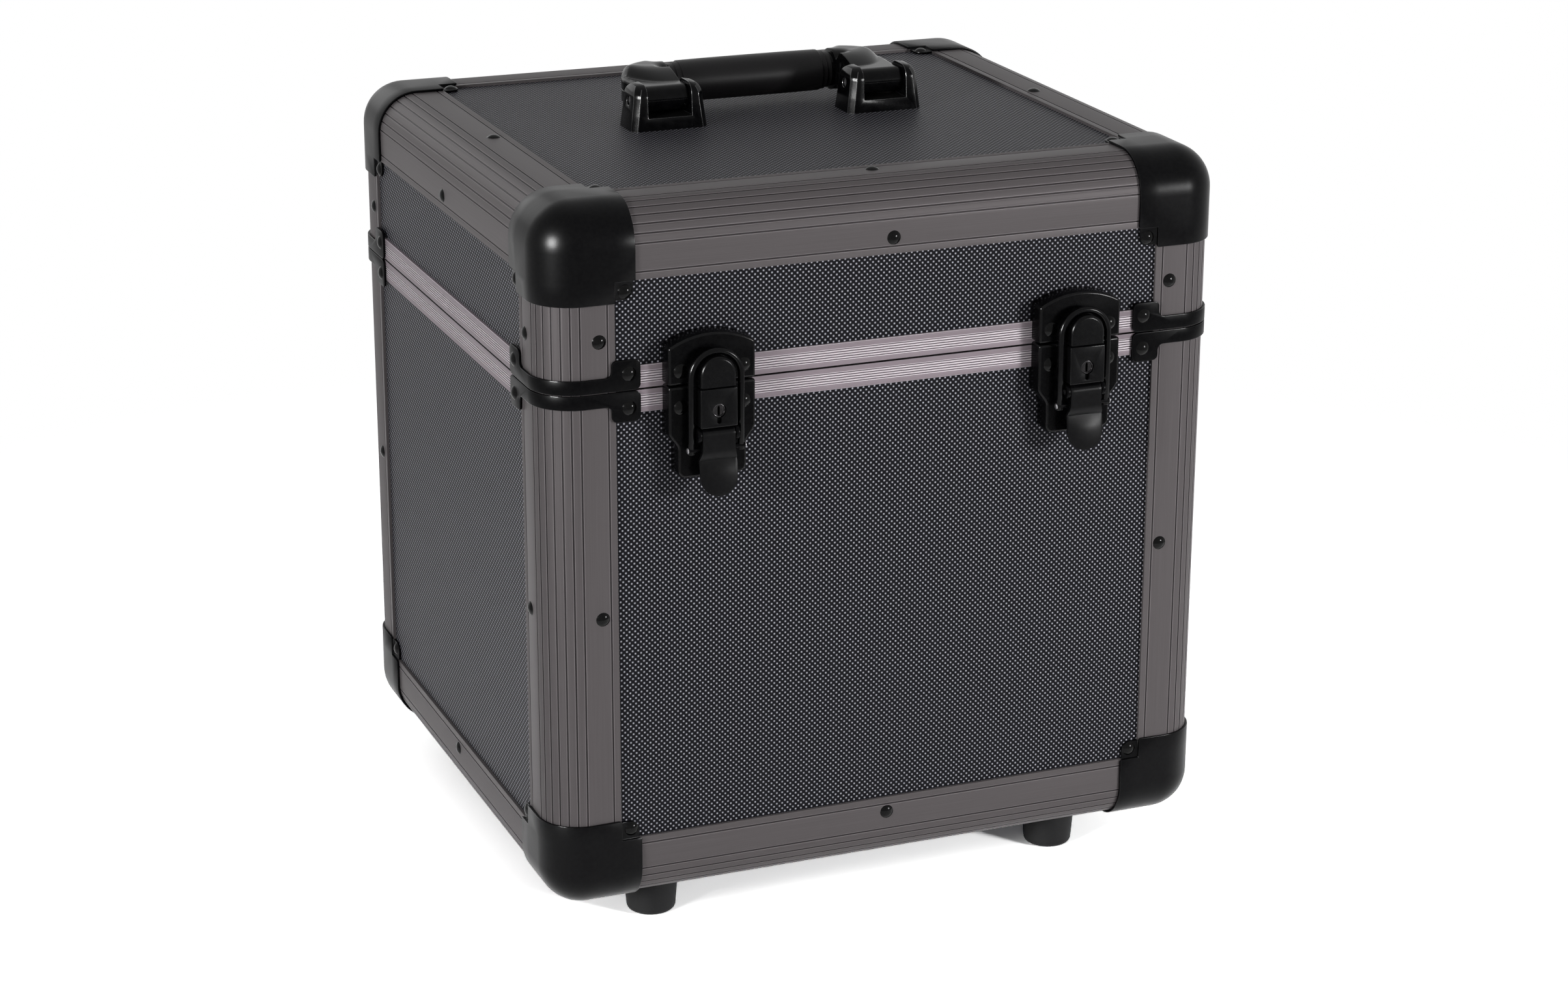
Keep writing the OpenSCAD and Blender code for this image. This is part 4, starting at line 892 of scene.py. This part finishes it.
# Latch levers: black steel sheet curled round the pin, with easy shoulders, a crease across and a rounded
# finger tab that bellies a little and flares out. Two ears behind carry the bail.
curl_r, tab_w, shoulder_at, shoulder_h, lever_t = 3.6, 20.5, 6.2, 8, 1.4
flat_len, dip_len, dip, flare_len, flare, belly_h = 8, 5.2, 1.9, 18.8, 2.4, 0.9
bail_drop, bail_back, ear_r = 7.7, 0.5, 3
crease_at = flat_len + dip_len

side_path = arc(0, 0, curl_r, -70, 90, 10) + [(-flat_len * k / 3, curl_r) for k in (1, 2, 3)]
side_path += [(-flat_len - dip_len * t, curl_r - dip * t * t) for t in (0.2, 0.4, 0.6, 0.8, 0.95, 1.0)]
side_path += [(-crease_at - flare_len * t, curl_r - dip + flare * math.sin(math.pi / 2 * t))
              for t in [0.03] + [k / 10 for k in range(1, 11)]]
reached = [0.0]
for (y0, z0), (y1, z1) in zip(side_path, side_path[1:]):
    reached.append(reached[-1] + math.hypot(y1 - y0, z1 - z0))
curled, tip = reached[10], reached[-1]


def lever_half(s):
    down = between((s - curled - shoulder_at) / shoulder_h)
    return lever_w / 2 + (tab_w - lever_w) * (1 - math.cos(math.pi * down)) / 4


face_side = [(lever_half(s), s) for s in [0, curled, curled + shoulder_at]
             + [curled + shoulder_at + shoulder_h * k / 8 for k in range(1, 9)]]
face_side += [(x, tip - tab_w / 2 - y) for x, y in arc(0, 0, tab_w / 2, 0, -84, 12)]
lever = flat_piece("lever", whole(face_side, (0, tip)))
sliced(y_axis, reached[1:-1])
sliced(x_axis, range(-9, 10, 2))
laid_down()
for point in lever.data.vertices:
    across, s = point.co.x, point.co.y
    belly = belly_h * (1 - (2 * across / tab_w) ** 2) * between((s - curled - crease_at) / 7)
    k = max(i for i in range(len(reached) - 1) if i == 0 or reached[i] <= s + 0.0001)
    t = (s - reached[k]) / (reached[k + 1] - reached[k])
    (y0, z0), (y1, z1) = side_path[k], side_path[k + 1]
    point.co = (across, y0 + (y1 - y0) * t, z0 + (z1 - z0) * t + belly)
flat_front = max(lever.data.polygons, key=lambda f: f.normal.z * f.normal.z * f.area)
if flat_front.normal.z < 0:
    lever.data.flip_normals()
walled(lever, lever_t, 0.4, 3, 40, [enamel("lever_enamel", 0.3, (6, 6, 7), 0.00003, 0.08), edge_highlight])
ear_top = curl_r - dish_sink
ears = upright_pair("ear", [(ear_r - bail_drop, ear_top)] + arc(-bail_drop, -bail_back, ear_r, 0, -180, 12)
                    + [(-ear_r - bail_drop, ear_top)], (lever_w - lever_t) / 2, lever_t, 0.25)
on_latches({"latch_lever": smoothed(made_one(lever, *ears), 40)}, "lever", "lever",
           at=(0, -lever_drop, lever_rise))


# Bails: black steel wire bent to a long arch that hooks over the catch. Its ends are flattened, and bright
# pins hold them to the lever's ears.
wire_r, bail_half, bail_z = 1.8, 13.5, 15.0
arch_y, pivot_y, flat_from, flat_bend, past_pivot = 6.9, -31, -26.5, 1.6, 2.4
pin_from, pin_r, pin_head_r = 7, 1.3, 1.55
bpy.ops.object.select_all(action="DESELECT")
bpy.ops.mesh.primitive_circle_add(vertices=16, radius=wire_r, location=(bail_half, arch_y, bail_z),
                                  rotation=(math.radians(90), 0, 0))
bail = bpy.context.object
bail.name = "bail"
bpy.ops.object.transform_apply(location=True, rotation=True, scale=True)
at_work(bail)
pick_all()
bpy.ops.mesh.spin(steps=32, angle=math.radians(-180), center=(0, arch_y, 0), axis=(0, 0, 1))
pick_all()
bpy.ops.mesh.remove_doubles(threshold=0.001)
for k in (-1, 1):
    pick("verts", lambda v: abs(v.co.y - arch_y) < 0.01 and k * v.co.x > 0)
    drawn_out(0, flat_from - arch_y, 0)
    drawn_out(0, -flat_bend, 0)
    bpy.ops.transform.resize(value=(1.08, 1, 0.62), center_override=(k * bail_half, flat_from, bail_z))
    drawn_out(0, pivot_y - past_pivot - flat_from + flat_bend, 0)
    bpy.ops.mesh.edge_face_add()
closed()
edged(bail, 0.5, 3, 50)
bail.data.materials.append(enamel("bail_enamel", 0.16, (5, 5, 6), 0.00002, 0.09))
pin_end = bail_half + wire_r * 1.08 - pin_from
pin_outline = [(0, 0), (pin_r, 0), (pin_r, pin_end), (pin_head_r, pin_end), (1.5, pin_end + 0.3),
               (1.0, pin_end + 0.6), (0, pin_end + 0.65)]
pin_place = Matrix.Translation((pin_from, pivot_y, bail_z)) @ rim_frame
pins = made_one(*[moved(turned("bail_pin", pin_outline, 20), Matrix.Diagonal((k, 1, 1, 1)) @ pin_place)
                  for k in (-1, 1)])
bright_steel = plated("bright_steel", (140, 139, 141), 0.3)
pins.data.materials.append(black_enamel)
pins.data.materials.append(bright_steel)
for face in pins.data.polygons:
    face.material_index = 1 if abs(face.center.x) > bail_half + wire_r else 0
on_latches({"bail_wire": bail, "bail_pins": pins}, "bail", "bail")
painted(["lever_pins"], bright_steel)


# Hinges: two black steel butt hinges on the back, rolled round steel pins, with lugs that stop the lid.
# Their leaves are copies of the solids, with softened edges.
def softened(source, name, body, paint, edge):
    """A merged copy of a solid whose sharp edges are rounded."""
    piece = copied(node[source], name)
    at_work(piece)
    pick_all()
    bpy.ops.mesh.remove_doubles(threshold=0.000004)
    bpy.ops.mesh.dissolve_limited(angle_limit=math.radians(0.8))
    laid_down()
    piece.data.materials.clear()
    edged(piece, edge, 2, 30, [paint])
    in_frame(piece, body, source)


softened("hinge_body_leaves", "hinge_leaves_body", "body", black_enamel, 0.0003)
softened("hinge_lid_leaves", "hinge_leaves_lid", "lid", black_enamel, 0.0003)
painted(["hinge_pins"], bright_steel)


# Handle brackets: gloss black mouldings with a round-shouldered lug on each side of a slot for the arm. They
# lean in a little and are screwed through the top board. A steel pin crosses each one.
bracket_x, bracket_w, bracket_d, bracket_c, shoulder, bracket_top = 63.6, 44, 24, 3, 17.6, 24.6
lean_x, lean_y, crown_in_x, crown_in_y, pin_bore_r = 2.2, 1.2, 4.6, 7, 2.6
slot_w, slot_floor, pivot_h, lid_face = 25.3, 7, 15.5, case_h - wall
handle_gloss = enamel("handle_gloss", 0.14, (6, 6, 7), 0.00003, 0.065, 260)
# The rounded edges of the handle take a lighter, glossier paint: a painted highlight along them.
handle_edge_highlight = enamel("handle_edge_highlight", 0.2, (26, 26, 27), 0.00002, 0.4)


def bracket_section(h):
    """Half width, half depth and chamfer of a bracket at a height."""
    x = bracket_w / 2 - lean_x * min(h, shoulder) / shoulder
    y = bracket_d / 2 - lean_y * min(h, shoulder) / shoulder
    if h > shoulder:
        turned_in = 1 - math.sqrt(max(0, 1 - ((h - shoulder) / (bracket_top - shoulder)) ** 2))
        x, y = x - crown_in_x * turned_in, y - crown_in_y * turned_in
    return x, y, min(bracket_c, 0.7 * y)


full_x, full_y, c = bracket_w / 2, bracket_d / 2, bracket_c
right_side = [(full_x - c, -full_y), (full_x, c - full_y), (full_x, full_y - c), (full_x - c, full_y)]
bracket = bar_of("bracket", right_side + [(-x, -y) for x, y in right_side], 0, bracket_top)
at_work(bracket)
sliced(z_axis, [shoulder / 2] + [shoulder + (bracket_top - shoulder) * math.sin(math.radians(a))
                                 for a in range(0, 90, 9)])
laid_down()
for point in bracket.data.vertices:
    x, y, c = bracket_section(point.co.z)
    far_x, far_y = abs(point.co.x) > full_x - 0.01, abs(point.co.y) > full_y - 0.01
    point.co.x = math.copysign(x if far_x else x - c, point.co.x)
    point.co.y = math.copysign(y if far_y else y - c, point.co.y)
pin_bore = moved(bar_of("pin_bore", arc(0, 0, pin_bore_r, 0, 345, 23), -30, 60),
                 Matrix.Translation((0, 0, pivot_h)) @ rim_frame)
cut_out(bracket, block("arm_slot", (-slot_w / 2, -20, slot_floor), (slot_w / 2, 20, 40)), pin_bore)
edged(bracket, 0.4, 3, 28, [handle_gloss, handle_edge_highlight])
# The slot's floor takes a dull, darker black than the bracket: painted shade under the arm's knuckle.
bracket.data.materials.append(enamel("slot_painted_shade", 0.7, (3, 3, 3), 0.00003, 0.02))
for face in bracket.data.polygons:
    if abs(face.center.x) < slot_w / 2 - 1 and abs(face.center.z - slot_floor) < 0.2:
        face.material_index = 2
for side, x in (("left", -bracket_x), ("right", bracket_x)):
    set_in(bracket, "bracket_" + side, Matrix.Translation((x, 0, lid_face)), "lid",
           "handle_bracket_" + side)
put_away(bracket)
painted(["handle_pins"], bright_steel)
# The handle's screws take the black paint instead of steel: painted shade where they show under the knuckles.
painted(["handle_screws"], black_enamel)


# Handle arms: gloss black mouldings in two halves, with a fine seam between them. Each runs flat from its
# knuckle, swells behind a curved crease and sweeps round to a collar at the grip's end.
knuckle_r, arm_in, arm_out, arm_face, arm_lip = 7, bracket_x - 12.35, bracket_x + 12.35, 50, 1.8
sweep_x, sweep_y, sweep_out, sweep_back, grip_r, grip_reach = 52, 23, 78.2, 48.8, 11.5, 37.5
swell, swell_len, crease_y, crease_curve, crease_from, crease_run = 4.7, 24, 7, 18.5, 53, 22
round_drop, round_steep, round_run, boss_r, boss_len, boss_least = 4, 4.5, 8, 11.6, 9, 3
boss_from, boss_run, arm_back, seam_w, seam_d, collar_r, collar_from = 24, 5, 27.5, 0.16, 0.2, 9.7, 45.5


def arm_rise(x, y):
    """Half thickness of an arm at a place in its plan."""
    if y < 0:
        return math.sqrt(max(0, knuckle_r * knuckle_r - y * y))
    behind = y - crease_y - crease_curve * (max(0, x - crease_from) / crease_run) ** 3
    if behind <= 0:
        edge = arm_out + (sweep_out - arm_out) * min(1, y / sweep_y) - x
        return knuckle_r - max(0, 1 - edge / arm_lip)
    rise = knuckle_r + swell * math.sin(min(1, behind / swell_len) * math.pi * 0.56)
    reached_out = math.hypot(max(0, x - sweep_x) / (sweep_out - sweep_x),
                             max(0, y - sweep_y) / (sweep_back - sweep_y))
    near_edge = between(1 - (1 - reached_out) * round_steep)
    rise -= round_drop * (1 - math.sqrt(1 - near_edge * near_edge)) * between((y - sweep_y) / round_run)
    boss = math.sqrt(max(boss_least ** 2, boss_r * boss_r - (y - grip_reach) ** 2))
    near_grip = between((arm_face + boss_len - x) / boss_len) * between((y - boss_from) / boss_run)
    return rise + (min(rise, boss) - rise) * near_grip * near_grip * (3 - 2 * near_grip)


plan = [(arm_in, -knuckle_r), (arm_out, -knuckle_r), (arm_out, 0)]
plan += [(sweep_x + (sweep_out - sweep_x) * u, sweep_y + (sweep_back - sweep_y) * v)
         for u, v in arc(0, 0, 1, 0, 90, 15)]
arm = bar_of("arm", plan + [(arm_face, sweep_back), (arm_face, arm_back), (arm_in, sweep_y)], -1, 2)
at_work(arm)
sliced(y_axis, [-knuckle_r * math.cos(math.radians(a)) for a in range(10, 90, 10)] + list(range(0, 49)))
sliced(x_axis, range(52, 78))
pick_all()
bpy.ops.mesh.bisect(plane_co=x_axis * (arm_out - arm_lip),
                    plane_no=Vector((sweep_y, arm_out - sweep_out, 0)).normalized())
laid_down()
for point in arm.data.vertices:
    point.co.z = math.copysign(arm_rise(point.co.x, point.co.y), point.co.z)
at_work(arm)
pick_all()
bpy.ops.mesh.remove_doubles(threshold=0.01)
bpy.ops.mesh.bisect(plane_co=(0, 0, 0), plane_no=z_axis)
pick("edges", lambda e: level(e, 2, 0))
bpy.ops.mesh.bevel(offset=seam_w, segments=2, affect="EDGES")
pick("verts", lambda v: abs(v.co.z) < 0.01)
bpy.ops.transform.shrink_fatten(value=-seam_d)
closed()
edged(arm, 0.35, 2, 40, [handle_gloss, handle_edge_highlight])
collar_outline = [(0, collar_from), (collar_r - 0.4, collar_from), (collar_r, collar_from + 0.3),
                  (collar_r, arm_face + 1), (0, arm_face + 1)]
collar = moved(turned("collar", collar_outline, 40, 35), Matrix.Translation((0, grip_reach, 0)) @ rim_frame)
collar.data.materials.append(handle_gloss)
arm = smoothed(made_one(arm, collar), 40)
pivot = Matrix.Translation((0, 0, lid_face + pivot_h))
for side, way in (("left", -1), ("right", 1)):
    set_in(arm, "arm_" + side, pivot @ Matrix.Diagonal((way, 1, 1, 1)), "handle",
           "handle_arm_" + side)
put_away(arm)


# Handle grip: a satin black moulded sleeve that steps down twice at each end, on a rod between the arms.
# It is thickest in the middle.
half_sleeve = [(0, 48), (9.9, 48), (10.2, 47.7), (10.2, 45.3), (10.5, 45.0), (10.7, 45.0), (10.9, 44.8),
               (10.9, 42.3), (11.0, 42.0), (11.2, 42.0), (grip_r - 0.05, 41.7), (grip_r, 41.0),
               (grip_r + 0.15, 25)]
grip = turned("grip", half_sleeve + [(grip_r + 0.2, 0)] + [(r, -z) for r, z in reversed(half_sleeve)], 56, 35)
grip.data.materials.append(enamel("grip_satin", 0.4, (16, 15, 16), 0.00005, 0.12, 1600))
set_in(grip, "grip_sleeve", Matrix.Translation((0, grip_reach, lid_face + pivot_h)) @ rim_frame, "handle",
       "handle_grip")
put_away(grip)
